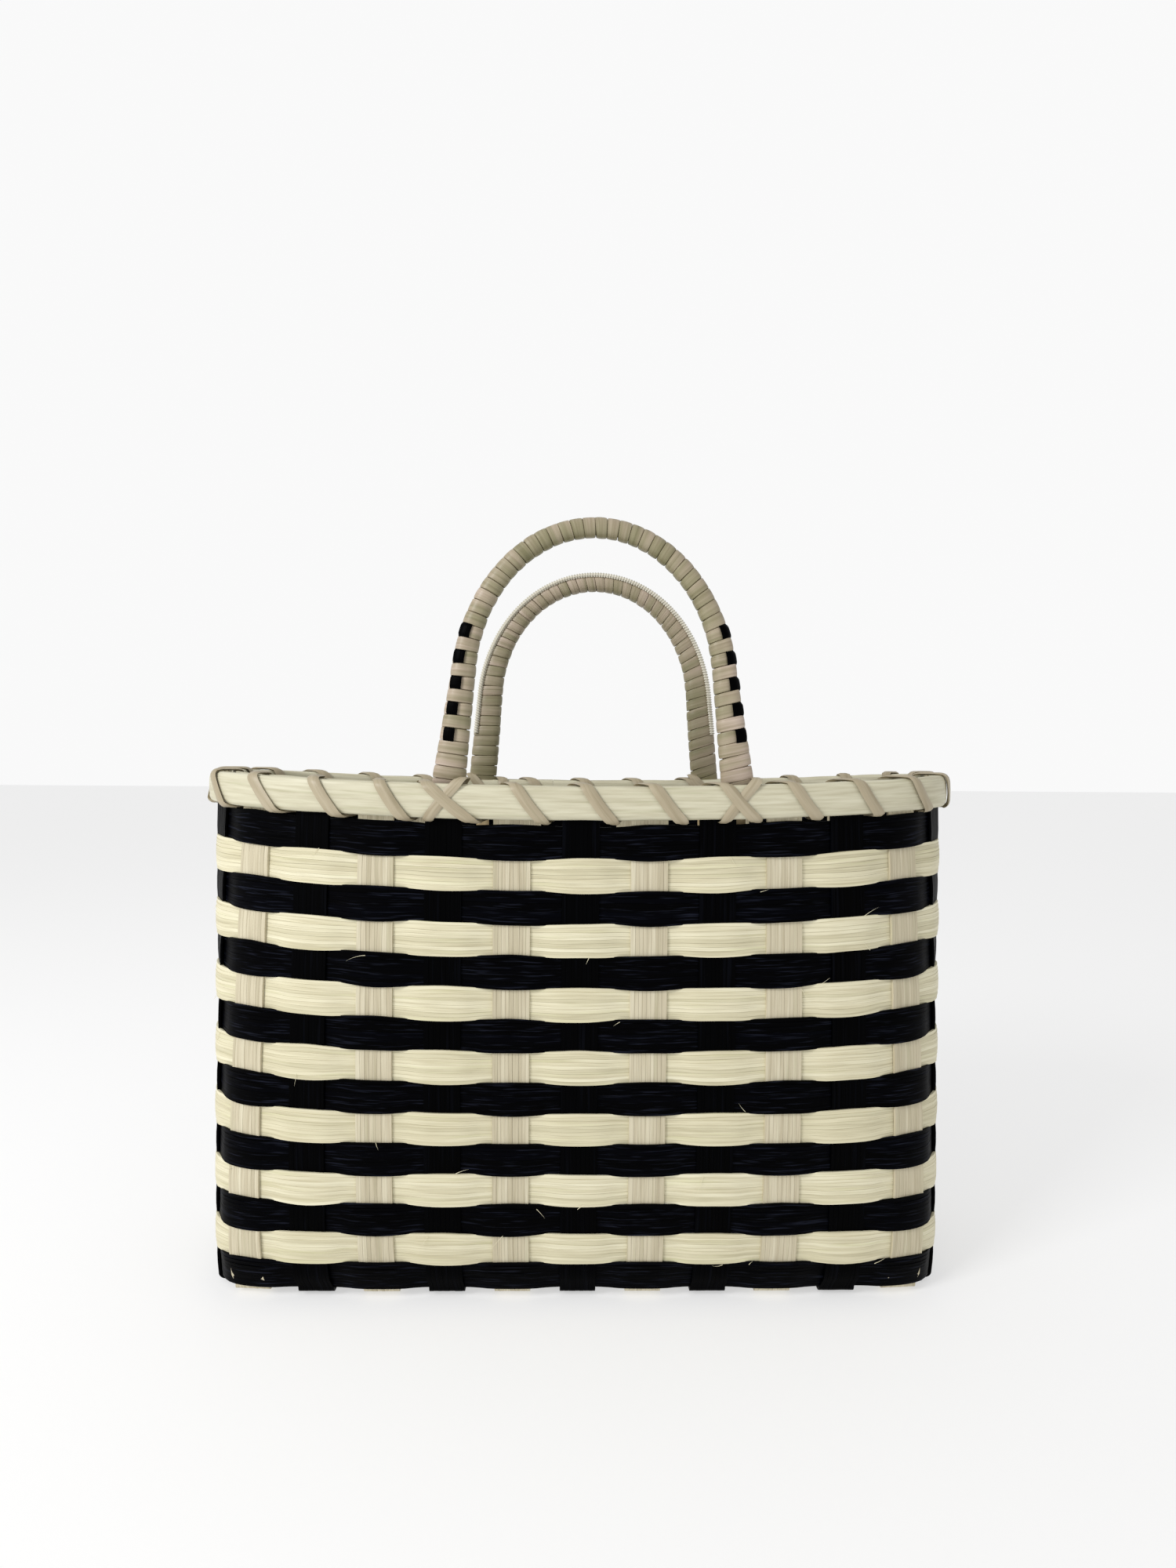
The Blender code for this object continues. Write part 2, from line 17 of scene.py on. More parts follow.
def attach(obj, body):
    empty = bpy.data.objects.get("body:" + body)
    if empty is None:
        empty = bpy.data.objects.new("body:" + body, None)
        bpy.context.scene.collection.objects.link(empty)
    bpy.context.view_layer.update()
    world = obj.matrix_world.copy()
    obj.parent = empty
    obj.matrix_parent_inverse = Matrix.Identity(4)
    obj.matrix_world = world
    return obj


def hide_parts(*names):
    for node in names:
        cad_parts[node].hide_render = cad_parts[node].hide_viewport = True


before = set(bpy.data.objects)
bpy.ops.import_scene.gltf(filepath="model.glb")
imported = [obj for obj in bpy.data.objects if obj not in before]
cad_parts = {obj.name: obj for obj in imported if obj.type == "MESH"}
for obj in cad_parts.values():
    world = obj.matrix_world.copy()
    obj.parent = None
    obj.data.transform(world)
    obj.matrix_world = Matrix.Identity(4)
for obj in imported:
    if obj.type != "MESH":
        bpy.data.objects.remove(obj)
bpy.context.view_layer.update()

# Wall
BASE_HALF_LENGTH = 0.1607
BASE_HALF_DEPTH = 0.0489
BASE_SQUARENESS = 8.2  # superellipse exponent: 2 is an ellipse, more is squarer
RIM_HALF_LENGTH = 0.1681
RIM_HALF_DEPTH = 0.0663
RIM_SQUARENESS = 2.6
DEPTH_FLARE_POWER = 0.5
SADDLE_RISE = 0.0069
SADDLE_POWER = 1.5

# Weave
MIDDLE = 5  # cross stakes on either side of the middle one
STAKES_ROUND = 28
SIDE_MIDDLE = STAKES_ROUND // 4
WEAVERS = 15
BOTTOM_ROW_HEIGHT = 0.01328
TOP_ROW_HEIGHT = 0.01372
STAKE_WIDTH = 0.0155
BASE_Z = 0.0023
FIRST_ROW_Z = 0.0047
BEND_RADIUS = 0.003
SPLINTS = 9  # in each bundle
SPLINT_THICKNESS = 0.0011
SPLINT_SHARES = (0.7, 1.3)  # how uneven in width the splints of a bundle are
SPLINT_WANDER = 0.018  # how far a side strays, as a share of the bundle's width
SPLINT_KNOTS = 0.02  # distance over which it strays
SPLINT_SHOULDER = 0.05  # share of a splint's width that is rounded off on either side
SPLINT_OVERLAP = 0.00005  # of neighbours in a bundle, so that no light comes through
SPLINT_LIFT = 0.00005  # how far a splint stands proud of its neighbours
SHARP_EDGE = math.radians(38)
WEAVER_SWING = 0.0010
WEAVER_TUCK = 0.75  # a weaver's inward swing as a share of its outward one
STAKE_SWING = 0.0003
LONG_STAKE_SWING = 0.0016
SWING_SHARPNESS = 1.6
ROW_BULGE = 0.00042  # how far a row swells over its neighbours where it passes outside a stake
ROW_WANDER = 0.00035
ROW_CROWN = 0.0006
ROW_GAP = -0.0002  # negative, as the rows press into each other
WEAVER_SLACK = 0.004  # stake pitches from a weaver's end to the middle of the stake that hides it
WEAVER_STEPS = 8  # sections to each stake pitch
STAKE_LEVELS = 46
BASE_STEPS = 60  # sections of a stake across the base
STAKE_CUTS = (-0.0016, 0.0014)  # how unevenly the splints of a stake are cut off

# Rim, as heights above the top weaver
BAND_BOTTOM = 0.0027
BAND_HEIGHT = 0.0141
BAND_TOP = BAND_BOTTOM + BAND_HEIGHT
OUTER_BAND = (0.0009, 0.0048)
INNER_BAND = (-0.0049, -0.0086)
RIM_SETTLE = 0.0015  # how much closer the bands sit to the top weaver at the two ends
BAND_RIDGES = 0.03  # share of a band's depth that its fine ridges stand up or down
BAND_SWELL = 0.0002
BAND_SLACK = 0.003  # stake pitches from a band's end to where its ends would meet
STAKE_TOP = BAND_TOP - 0.0018
LOOP_POWER = 0.42  # of the rounded way round both bands: less is squarer
LASHING_WIDTH = 0.0049
LASHING_THICKNESS = 0.0013
LASHING_LIFT = (0.0010, 0.0008)  # of its middle off the bands' sides and off their top
LASHING_RUN = 0.0125  # how far each turn slants along the rim on the outside
LASHING_TOP_RUN = 0.004
LASHING_CLEARANCE = 0.0016  # beside a handle's tongue
LASHING_TURN_STEPS = 44
TIE_WIDTH = 0.0044
TIE_THICKNESS = 0.8 * LASHING_THICKNESS
TIE_LIFT = (0.0004, 0.0026)
CANE_SHOULDER = 0.26  # share of a cane's width that is rounded off on either side

# Handles
FRONT = -1
REAR = 1
LEGS = ((FRONT, -1), (FRONT, 1), (REAR, -1), (REAR, 1))  # -1 is the left leg and 1 the right
HANDLE_SHIFT = {FRONT: 0.0052, REAR: 0.0080}
TONGUE_OFFSET = -0.0036
TONGUE_WIDTH = 0.0070
TONGUE_THICKNESS = 0.0020
TONGUE_DEPTH = 0.030
ARCH_CENTRE = 0.040
ARCH_HALF_WIDTH = {FRONT: 0.0551, REAR: 0.0567}
ARCH_HEIGHT = {FRONT: 0.0679, REAR: 0.0670}
LEG_LEAN = {FRONT: 0.130, REAR: 0.085}
LEG_TOP = 0.046
LEG_SHARE = 0.32  # of the steps along half a handle
WRAP_FOOT = -0.003  # the lowest turns go down between the bands
WRAP_WIDTHS = {  # as (height above the rim, width) pairs
    FRONT: (
        (-0.003, 0.0138), (0.0, 0.0142), (0.020, 0.0124),
        (0.045, 0.0104), (0.070, 0.0092), (0.108, 0.0084),
    ),
    REAR: (
        (-0.003, 0.0142), (0.0, 0.0146), (0.030, 0.0140),
        (0.050, 0.0130), (0.070, 0.0115), (0.108, 0.0090),
    ),
}
WRAP_DEPTHS = ((-0.003, 0.0026), (0.0012, 0.0060), (0.006, 0.0080), (0.022, 0.0090), (0.108, 0.0090))
HANDLE_POWER = 2.3  # superellipse exponent of a handle's section
CORE_INSET = 0.0014
BEAD_START = 0.028  # above this the bead lies proud of the wrapping
BEAD_RADIUS = 0.0012
BEAD_RIB = 0.0013
BEAD_SIDES = 7
TURN_STEPS = 36  # corners round the handle
TURN_THICKNESS = 0.0009
TURN_CROWN = 0.00016
TURN_BULGE = 0.0006  # of a turn inwards or outwards where it crosses the black strip
TURN_PITCH = 0.0054
LEG_TURNS = 15  # turns of that pitch at each foot
ARCH_PITCH = 0.0049
PAINTED_INSIDE_SHADE = 0.26  # painted shade: darker inside the arch by this, and painted light: lighter outside
ARCH_TONE = {FRONT: 0.32, REAR: 0.66}  # 0 is olive and 1 is pink
FOOT_TONE = {FRONT: 0.85, REAR: 0.30}
ACCENT_TURNS = (4, 6, 8, 10, 12)  # turns that the black strip lies over, counted from each foot
ACCENT_SHIFT = {-1: 0.0020, 1: 0.0031}  # outwards from the centre line of the left and the right leg
ACCENT_WIDTH = 0.0044
ACCENT_THICKNESS = 0.0004
TURN_SLANT = {FRONT: (0.0, -0.13), REAR: (-0.06, -0.27)}  # at the left and the right foot

# Loose fibres
FIBRES = 46
FIBRE_LENGTHS = (0.003, 0.008)
FIBRE_RADIUS = 0.00013


def level_height(level):
    """Height of a row boundary at mid-length."""
    growth = (TOP_ROW_HEIGHT - BOTTOM_ROW_HEIGHT) / (2 * WEAVERS)
    return FIRST_ROW_Z + level * (BOTTOM_ROW_HEIGHT + growth * level)


@functools.lru_cache(maxsize=None)
def quarter_outline(level):
    """A quarter of the wall's outline at a level, from mid-front to the right end, with its length."""
    rise = level / WEAVERS
    half_length = BASE_HALF_LENGTH + (RIM_HALF_LENGTH - BASE_HALF_LENGTH) * rise
    half_depth = BASE_HALF_DEPTH + (RIM_HALF_DEPTH - BASE_HALF_DEPTH) * rise**DEPTH_FLARE_POWER
    power = 2 * (1 / BASE_SQUARENESS + (1 / RIM_SQUARENESS - 1 / BASE_SQUARENESS) * rise)
    angle = np.linspace(0, math.pi / 2, 4001)
    x = half_length * np.abs(np.sin(angle)) ** power
    y = -half_depth * np.abs(np.cos(angle)) ** power
    run = np.concatenate([[0.0], np.cumsum(np.hypot(np.diff(x), np.diff(y)))])
    return x, y, run


def pitch(level):
    """Distance between stakes, measured round the wall."""
    return quarter_outline(level)[2][-1] / SIDE_MIDDLE


def outline_points(places, level):
    """Plan positions of places on the wall, by folding them back into the first quarter."""
    x, y, run = quarter_outline(level)
    turn = np.mod(places, STAKES_ROUND)
    right = turn <= STAKES_ROUND / 2
    turn = np.where(right, turn, STAKES_ROUND - turn)
    front = turn <= SIDE_MIDDLE
    turn = np.where(front, turn, STAKES_ROUND / 2 - turn)
    along = turn * pitch(level)
    px = np.interp(along, run, x)
    py = np.interp(along, run, y)
    return np.stack([np.where(right, px, -px), np.where(front, py, -py)], axis=-1)


def unit(vectors):
    """Vectors scaled to length one."""
    return vectors / np.linalg.norm(vectors, axis=-1, keepdims=True)


def wall(places, level):
    """Points on the wall at a level, and the directions along the wall and out of it."""
    places = np.atleast_1d(np.asarray(places, float))
    plan = outline_points(places, level)
    step = 0.04
    run = outline_points(places + step, level) - outline_points(places - step, level)
    flat = np.zeros(len(places))
    along = unit(np.column_stack([run, flat]))
    out = np.column_stack([along[:, 1], -along[:, 0], flat])
    saddle = (level / WEAVERS) ** SADDLE_POWER * SADDLE_RISE * (plan[:, 0] / RIM_HALF_LENGTH) ** 2
    return np.column_stack([plan, level_height(level) + saddle]), along, out


def read_smoothly(values, where):
    """Values at places between their whole steps, on a smooth curve."""
    cell = np.minimum(where.astype(int), len(values) - 2)
    share = where - cell
    share = share * share * (3 - 2 * share)
    return values[cell] * (1 - share) + values[cell + 1] * share


def wander(rng, count, knots):
    """Smooth random values from -1 to 1, one for each of count steps."""
    return read_smoothly(rng.uniform(-1, 1, knots + 1), np.linspace(0, knots, count))


def signed_power(value, exponent):
    """A value's size raised to a power, with the value's sign."""
    return np.sign(value) * np.abs(value) ** exponent


def swing(turn):
    """A rounded square wave, 1 at even whole turns and -1 at odd ones."""
    return np.tanh(SWING_SHARPNESS * np.cos(math.pi * turn)) / math.tanh(SWING_SHARPNESS)


class Bodies:
    """Closed bodies collected into one mesh, with the grain and tone that their material reads.

    Grain is (metres along, metres across, a number of its own for each body). Tone runs from 0 to 1.
    """

    def __init__(self):
        self.points = []
        self.faces = []
        self.grain = []
        self.tone = []
        self.count = 0

    def loft(self, sections, along, across, key, tone, closed=False):
        """A body through sections, an array of stations by corners by 3. Tone may vary by station."""
        stations, sides, _ = sections.shape
        if volume(sections, closed) < 0:
            sections = sections[:, ::-1]
            across = across[::-1]
        corners = self.count + np.arange(stations * sides).reshape(stations, sides)
        here = corners if closed else corners[:-1]
        ahead = np.roll(corners, -1, axis=0) if closed else corners[1:]
        quads = np.stack([here, np.roll(here, -1, 1), np.roll(ahead, -1, 1), ahead], axis=-1)
        self.faces += quads.reshape(-1, 4).tolist()
        if not closed:
            self.faces.append(corners[0, ::-1].tolist())
            self.faces.append(corners[-1].tolist())
        self.points.append(sections.reshape(-1, 3))
        grain = np.zeros((stations, sides, 3))
        grain[:, :, 0] = np.asarray(along)[:, None]
        grain[:, :, 1] = np.asarray(across)[None, :]
        grain[:, :, 2] = key
        self.grain.append(grain.reshape(-1, 3))
        self.tone.append(np.repeat(np.clip(np.broadcast_to(tone, stations), 0, 1), sides))
        self.count += stations * sides

    def piece(self, name, material, slot, *nodes):
        """The finished object, standing for those nodes of the model."""
        mesh = bpy.data.meshes.new(name)
        mesh.from_pydata(np.concatenate(self.points).tolist(), [], self.faces)
        grain = mesh.attributes.new("grain", "FLOAT_VECTOR", "POINT")
        grain.data.foreach_set("vector", np.concatenate(self.grain).astype(np.float32).ravel())
        tone = mesh.attributes.new("tone", "FLOAT", "POINT")
        tone.data.foreach_set("value", np.concatenate(self.tone).astype(np.float32))
        mesh.shade_smooth()
        mesh.set_sharp_from_angle(angle=SHARP_EDGE)
        mesh.materials.append(material)
        obj = bpy.data.objects.new(name, mesh)
        bpy.context.scene.collection.objects.link(obj)
        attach(obj, "root")
        if nodes:
            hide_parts(*nodes)
        return obj


def volume(sections, closed):
    """Signed volume of a lofted body: positive when its faces point outwards."""
    here = sections if closed else sections[:-1]
    ahead = np.roll(sections, -1, axis=0) if closed else sections[1:]
    a, b = here, np.roll(here, -1, 1)
    c, d = np.roll(ahead, -1, 1), ahead
    total = np.sum(a * np.cross(b, c)) + np.sum(a * np.cross(c, d))
    if not closed:
        for cap, sign in ((sections[0], -1), (sections[-1], 1)):
            total += sign * np.sum(cap[0] * np.cross(cap[1:-1], cap[2:]))
    return total


def strip_sections(low, high, face, thickness, shoulder=SPLINT_SHOULDER):
    """Flat six-cornered sections between two edge lines. The flat sides look along face and away from it."""
    inset = (high - low) * shoulder
    rise = face * (np.asarray(thickness).reshape(-1, 1) / 2)
    back = [low + inset - rise, high - inset - rise]
    front = [high - inset + rise, low + inset + rise]
    return np.stack([low, *back, high, *front], axis=1)


def strip_across(width, shoulder=SPLINT_SHOULDER):
    """Distances across a strip of the corners that strip_sections makes."""
    return np.array([0, shoulder, 1 - shoulder, 1, 1 - shoulder, shoulder]) * width


def path_length(points):
    """Distance along a line of points, at each of them."""
    return np.concatenate([[0.0], np.cumsum(np.linalg.norm(np.diff(points, axis=0), axis=1))])


def add_bundle(bodies, rng, low, high, face, lift=None):
    """Splints side by side between two edge lines, of uneven widths and with slightly wandering sides."""
    stations = len(low)
    along = path_length((low + high) / 2)
    width = float(np.mean(np.linalg.norm(high - low, axis=1)))
    widths = rng.uniform(*SPLINT_SHARES, SPLINTS)
    edges = np.concatenate([[0.0], np.cumsum(widths)]) / widths.sum()
    knots = max(3, int(along[-1] / SPLINT_KNOTS))
    sides = [np.full(stations, edges[0])]
    for edge in edges[1:-1]:
        sides.append(edge + SPLINT_WANDER * wander(rng, stations, knots))
    sides.append(np.full(stations, edges[-1]))
    lap = SPLINT_OVERLAP / width
    for n in range(SPLINTS):
        a = (sides[n] - lap)[:, None]
        b = (sides[n + 1] + lap)[:, None]
        rise = SPLINT_LIFT * wander(rng, stations, knots)[:, None] * face
        if lift is not None:
            rise = rise + face * lift((sides[n] + sides[n + 1]) / 2)[:, None]
        near = low + (high - low) * a + rise
        far = low + (high - low) * b + rise
        sections = strip_sections(near, far, face, SPLINT_THICKNESS)
        key = rng.uniform(0, 50)
        across = edges[n] * width + strip_across((edges[n + 1] - edges[n]) * width)
        bodies.loft(sections, along, across, key, rng.uniform(0, 1))


@functools.lru_cache(maxsize=None)
def boundary_knots(boundary):
    """Random heights along a row boundary, two to each stake pitch, shared by the rows above and below it."""
    values = np.random.default_rng(500 + boundary).uniform(-1, 1, 2 * STAKES_ROUND)
    return np.concatenate([values, values[:1]])


def boundary_shift(places, boundary):
    """How far a row boundary stands above its level: rows swell where they pass outside a stake."""
    if boundary == 0:
        return np.zeros(len(places))
    rough = read_smoothly(boundary_knots(boundary), np.mod(places, STAKES_ROUND) * 2)
    return ROW_BULGE * np.cos(math.pi * (places + boundary)) + ROW_WANDER * rough


def make_weaver(row, material, slot):
    """One weaver right round the wall. Its two ends meet behind a stake at the back."""
    rng = np.random.default_rng(100 + row)
    start = STAKES_ROUND / 2 - row % 2
    ends = (WEAVER_SLACK, STAKES_ROUND - WEAVER_SLACK)
    places = start + np.linspace(*ends, STAKES_ROUND * WEAVER_STEPS + 1)
    side = -swing(places + row)
    side = np.where(side > 0, side, side * WEAVER_TUCK)
    edges = []
    for boundary, trim in ((row, ROW_GAP / 2), (row + 1, -ROW_GAP / 2)):
        point, _, out = wall(places, boundary)
        up = np.zeros_like(point)
        up[:, 2] = boundary_shift(places, boundary) + trim
        edges.append(point + up + out * (WEAVER_SWING * side)[:, None])

    def crown(share):
        return ROW_CROWN * np.maximum(side, 0) * (1 - (2 * share - 1) ** 2)

    bodies = Bodies()
    face = wall(places, row + 0.5)[2]
    add_bundle(bodies, rng, *edges, face, crown)
    bodies.piece(f"weaver_{row + 1:02d}_splints", material, slot, f"weaver_{row + 1:02d}")


def stake_climb(place):
    """Centres, width directions and outer faces of a stake from the foot of the wall to its cut top."""
    centres, alongs, faces = [], [], []
    for level in np.linspace(0, WEAVERS, STAKE_LEVELS):
        point, along, out = wall(place, float(level))
        settle = min(1.0, level, WEAVERS - level)
        centres.append(point[0] + out[0] * STAKE_SWING * settle * math.cos(math.pi * (level - 0.5 + place)))
        alongs.append(along[0])
        faces.append(out[0])
    settle = RIM_SETTLE * (centres[-1][0] / RIM_HALF_LENGTH) ** 2
    for height in np.linspace(0, STAKE_TOP - settle, 5)[1:]:
        centres.append(centres[STAKE_LEVELS - 1] + np.array([0, 0, height]))
        alongs.append(alongs[-1])
        faces.append(faces[-1])
    return np.array(centres), np.array(alongs), np.array(faces)


def stake_bend(foot, along, out, inward, base_along):
    """As stake_climb, for the bend from the base up to the foot of the wall, starting at the base."""
    centres, alongs, faces = [], [], []
    for angle in np.linspace(0, math.pi / 2, 6)[:-1]:
        centre = foot + inward * BEND_RADIUS * (1 - math.sin(angle))
        centre[2] = BASE_Z + (FIRST_ROW_Z - BASE_Z) * (1 - math.cos(angle))
        share = angle / (math.pi / 2)
        centres.append(centre)
        alongs.append(base_along * (1 - share) + along * share)
        faces.append(out * math.sin(angle) - np.array([0, 0, 1]) * math.cos(angle))
    return np.array(centres), unit(np.array(alongs)), unit(np.array(faces))


def stake_half(place, sign, base_along):
    """One side of a stake from the base to the rim. sign turns its width to match the other side's."""
    centres, alongs, faces = stake_climb(place)
    alongs = alongs * sign
    axis = 1 - int(np.argmax(np.abs(base_along)))
    inward = np.zeros(3)
    inward[axis] = -math.copysign(1, centres[0][axis])
    bend = stake_bend(centres[0], alongs[0], faces[0], inward, base_along)
    return [np.concatenate([a, b]) for a, b in zip(bend, (centres, alongs, faces))]


def make_stake(name, start, end, base_along, base_rise, material, slot, seed):
    """A stake down from one rim, across the base and up to the other. base_rise waves it along the base."""
    rng = np.random.default_rng(seed)
    first = stake_half(start, 1, base_along)
    last = stake_half(end, -1, base_along)
    share = np.linspace(0, 1, BASE_STEPS + 2)[1:-1, None]
    base = first[0][0] * (1 - share) + last[0][0] * share
    base[:, 2] = BASE_Z + base_rise(base)
    across = np.tile(base_along, (len(base), 1))
    down = np.tile(np.array([0.0, 0.0, -1.0]), (len(base), 1))
    centres = np.concatenate([first[0][::-1], base, last[0]])
    alongs = np.concatenate([first[1][::-1], across, last[1]])
    faces = np.concatenate([first[2][::-1], down, last[2]])
    low = centres - alongs * STAKE_WIDTH / 2
    high = centres + alongs * STAKE_WIDTH / 2
    bodies = Bodies()
    add_bundle(bodies, rng, low, high, faces)
    corners = 6
    for points in bodies.points:
        cut = rng.uniform(*STAKE_CUTS, 2)
        points[:corners, 2] += cut[0]
        points[-corners:, 2] += cut[1]
    bodies.piece(name + "_splints", material, slot, name)


def cross_rise(points):
    """Cross stakes ride slightly over and under the three long stakes."""
    return STAKE_SWING * np.cos(math.pi * points[:, 1] / pitch(0))


def long_rise(number):
    """How a long stake passes under and over the cross stakes in turn."""
    xs = [wall(j, 0)[0][0][0] for j in range(-MIDDLE, MIDDLE + 1)]

    def rise(points):
        turn = np.interp(points[:, 0], xs, np.arange(-MIDDLE, MIDDLE + 1))
        return -LONG_STAKE_SWING * swing(turn + number)

    return rise


def band_section(rng, back, crown):
    """A band's outline as (offset, height) pairs: flat behind, and crowned in front with fine ridges."""
    section = []
    for angle in np.linspace(-math.pi / 2, math.pi / 2, 25):
        ridge = 1 + (rng.uniform(-BAND_RIDGES, BAND_RIDGES) if abs(angle) < 1.4 else 0)
        offset = back + (crown - back) * math.cos(angle) ** 0.45 * ridge
        height = math.copysign(abs(math.sin(angle)) ** 0.55, angle) * BAND_HEIGHT / 2
        section.append((offset, (BAND_BOTTOM + BAND_TOP) / 2 + height))
    return np.array(section)


def rim_points(places, offsets, heights):
    """Points off the wall at the rim, by place, distance out of the wall and height above the top weaver."""
    point, _, out = wall(places, WEAVERS)
    rise = np.zeros_like(point)
    settle = RIM_SETTLE * (point[:, 0] / RIM_HALF_LENGTH) ** 2
    rise[:, 2] = heights - settle * np.clip(np.asarray(heights) / BAND_BOTTOM, 0, 1)
    return point + out * np.reshape(offsets, (-1, 1)) + rise


def make_band(name, limits, material, seed):
    """A rim band, whose ends meet under a turn of the lashing at the back."""
    rng = np.random.default_rng(seed)
    section = band_section(rng, *limits)
    ends = (BAND_SLACK, STAKES_ROUND - BAND_SLACK)
    places = STAKES_ROUND / 2 + 0.5 + np.linspace(*ends, STAKES_ROUND * WEAVER_STEPS + 1)
    swell = BAND_SWELL * wander(rng, len(places), 60)
    columns = []
    for offset, height in section:
        lift = swell * (height - (BAND_BOTTOM + BAND_TOP) / 2) / (BAND_HEIGHT / 2)
        columns.append(rim_points(places, np.full(len(places), offset), height + lift))
    bodies = Bodies()
    sections = np.stack(columns, axis=1)
    bodies.loft(sections, path_length(sections[:, 0]), section[:, 1], 0.0, 0.5)
    bodies.piece(name + "_cane", material, "rim_cane", name)


def rim_loop(angle, lift):
    """(offset, height) on the rounded way round both bands. Angle 0 is outside, a quarter turn is on top."""
    side_lift, top_lift = lift
    middle = (OUTER_BAND[1] + INNER_BAND[1]) / 2
    half_depth = (OUTER_BAND[1] - INNER_BAND[1]) / 2 + side_lift
    bottom = BAND_BOTTOM / 2
    top = BAND_TOP + top_lift
    offset = middle + half_depth * signed_power(np.cos(angle), LOOP_POWER)
    height = (bottom + top) / 2 + (top - bottom) / 2 * signed_power(np.sin(angle), LOOP_POWER)
    return offset, height


def place_at_x(x):
    """The place on the front rim that has this x."""
    xs, _, run = quarter_outline(WEAVERS)
    return math.copysign(float(np.interp(abs(x), xs, run)) / pitch(WEAVERS), x)


def leg_place(facing, side):
    """The place of a handle leg; facing is FRONT or REAR, and side -1 left or 1 right."""
    foot = ARCH_HALF_WIDTH[facing] + LEG_LEAN[facing] * LEG_TOP
    front_place = place_at_x(HANDLE_SHIFT[facing] + side * foot)
    return front_place if facing == FRONT else STAKES_ROUND / 2 - front_place


def ribbon(centres, normals, width, thickness):
    """Sections of a flat cane along a closed line, lying on a surface with those normals."""
    tangents = np.roll(centres, -1, axis=0) - np.roll(centres, 1, axis=0)
    across = unit(np.cross(tangents, normals))
    half = across * np.reshape(width, (-1, 1)) / 2
    return strip_sections(centres - half, centres + half, unit(normals), thickness, CANE_SHOULDER)


def rim_normals(places, angle):
    """Directions away from the middle of the two bands, for a cane that runs round them."""
    _, _, out = wall(places, WEAVERS)
    up = np.zeros_like(out)
    up[:, 2] = signed_power(np.sin(angle), 1.6)
    return unit(out * signed_power(np.cos(angle), 1.6)[:, None] + up)


def thread_place(gap):
    """Where the lashing threads the wall between two stakes: midway between what stands on either side."""
    half_stake = STAKE_WIDTH / 2 / pitch(WEAVERS)
    half_tongue = TONGUE_WIDTH / 2 / pitch(WEAVERS)
    low = gap - 0.5 + half_stake
    high = gap + 0.5 - half_stake
    for leg in LEGS:
        past = (leg_place(*leg) - gap + 0.5) % STAKES_ROUND - 0.5
        if 0 < past < 0.5:
            high = min(high, gap + past - half_tongue)
        elif -0.5 < past <= 0:
            low = max(low, gap + past + half_tongue)
    return (low + high) / 2


def outside_run(start):
    """How many stake pitches a turn slants on the outside: enough to pass a handle leg in its way."""
    run = LASHING_RUN
    clear = (TONGUE_WIDTH + LASHING_WIDTH) / 2 + LASHING_CLEARANCE
    for leg in LEGS:
        ahead = (start - leg_place(*leg)) % STAKES_ROUND * pitch(WEAVERS)
        if run < ahead + clear and run + LASHING_TOP_RUN > ahead - clear:
            run = ahead + clear
    return run / pitch(WEAVERS)


def make_lashing(material):
    """One cane spiralling round both bands, once for each gap between stakes, drawn in under the bands."""
    rng = np.random.default_rng(7)
    step = math.pi * 2 / LASHING_TURN_STEPS
    angle_in_turn = -math.pi / 2 + step * np.arange(LASHING_TURN_STEPS)
    places, offsets, heights, angles = [], [], [], []
    for turn in range(STAKES_ROUND):
        start = thread_place(0.5 - turn)
        run = outside_run(start) + rng.uniform(-0.03, 0.03)
        top_run = LASHING_TOP_RUN / pitch(WEAVERS)
        inside_run = start - thread_place(-0.5 - turn) - run - top_run
        offset, height = rim_loop(angle_in_turn, LASHING_LIFT)
        climb = (height - height.min()) / (height.max() - height.min())
        outside = angle_in_turn < math.pi / 2
        up = np.where(outside, climb, 1.0) ** 0.78
        over = np.clip((angle_in_turn - 1.2) / 0.9, 0, 1)
        down = np.where(outside, 0.0, 1 - climb)
        places.append(start - run * up - top_run * over - inside_run * down)
        offsets.append(offset)
        heights.append(height)
        angles.append(angle_in_turn)
    places, offsets, heights, angles = (np.concatenate(v) for v in (places, offsets, heights, angles))
    centres = rim_points(places, offsets, heights)
    width = LASHING_WIDTH * (1 + 0.05 * wander(rng, len(centres), 90)) * (1 - 0.2 * (np.sin(angles) < -0.9))
    sections = ribbon(centres, rim_normals(places, angles), width, LASHING_THICKNESS)
    bodies = Bodies()
    bodies.loft(sections, path_length(centres), strip_across(LASHING_WIDTH), 3.0, 0.5, closed=True)
    bodies.piece("rim_lashing_cane", material, "lashing_cane", "rim_lashing")


def make_tie(name, facing, side, material):
    """A cane that crosses under the lashing at a handle leg and ties the leg to the rim."""
    leg = leg_place(facing, side)
    reach = WRAP_WIDTHS[facing][0][1] / 2 / pitch(WEAVERS)
    low = leg - reach * 1.05
    high = leg + reach
    angle = np.linspace(-math.pi / 2, math.pi * 1.5, 61)[:-1]
    offset, height = rim_loop(angle, TIE_LIFT)
    share = (height - height.min()) / (height.max() - height.min())
    places = low + (high - low) * share**1.15
    centres = rim_points(places, offset, height)
    sections = ribbon(centres, rim_normals(places, angle), TIE_WIDTH, TIE_THICKNESS)
    bodies = Bodies()
    bodies.loft(sections, path_length(centres), strip_across(TIE_WIDTH), 9.0 + leg, 0.6, closed=True)
    bodies.piece(name + "_cane", material, "lashing_cane", name)


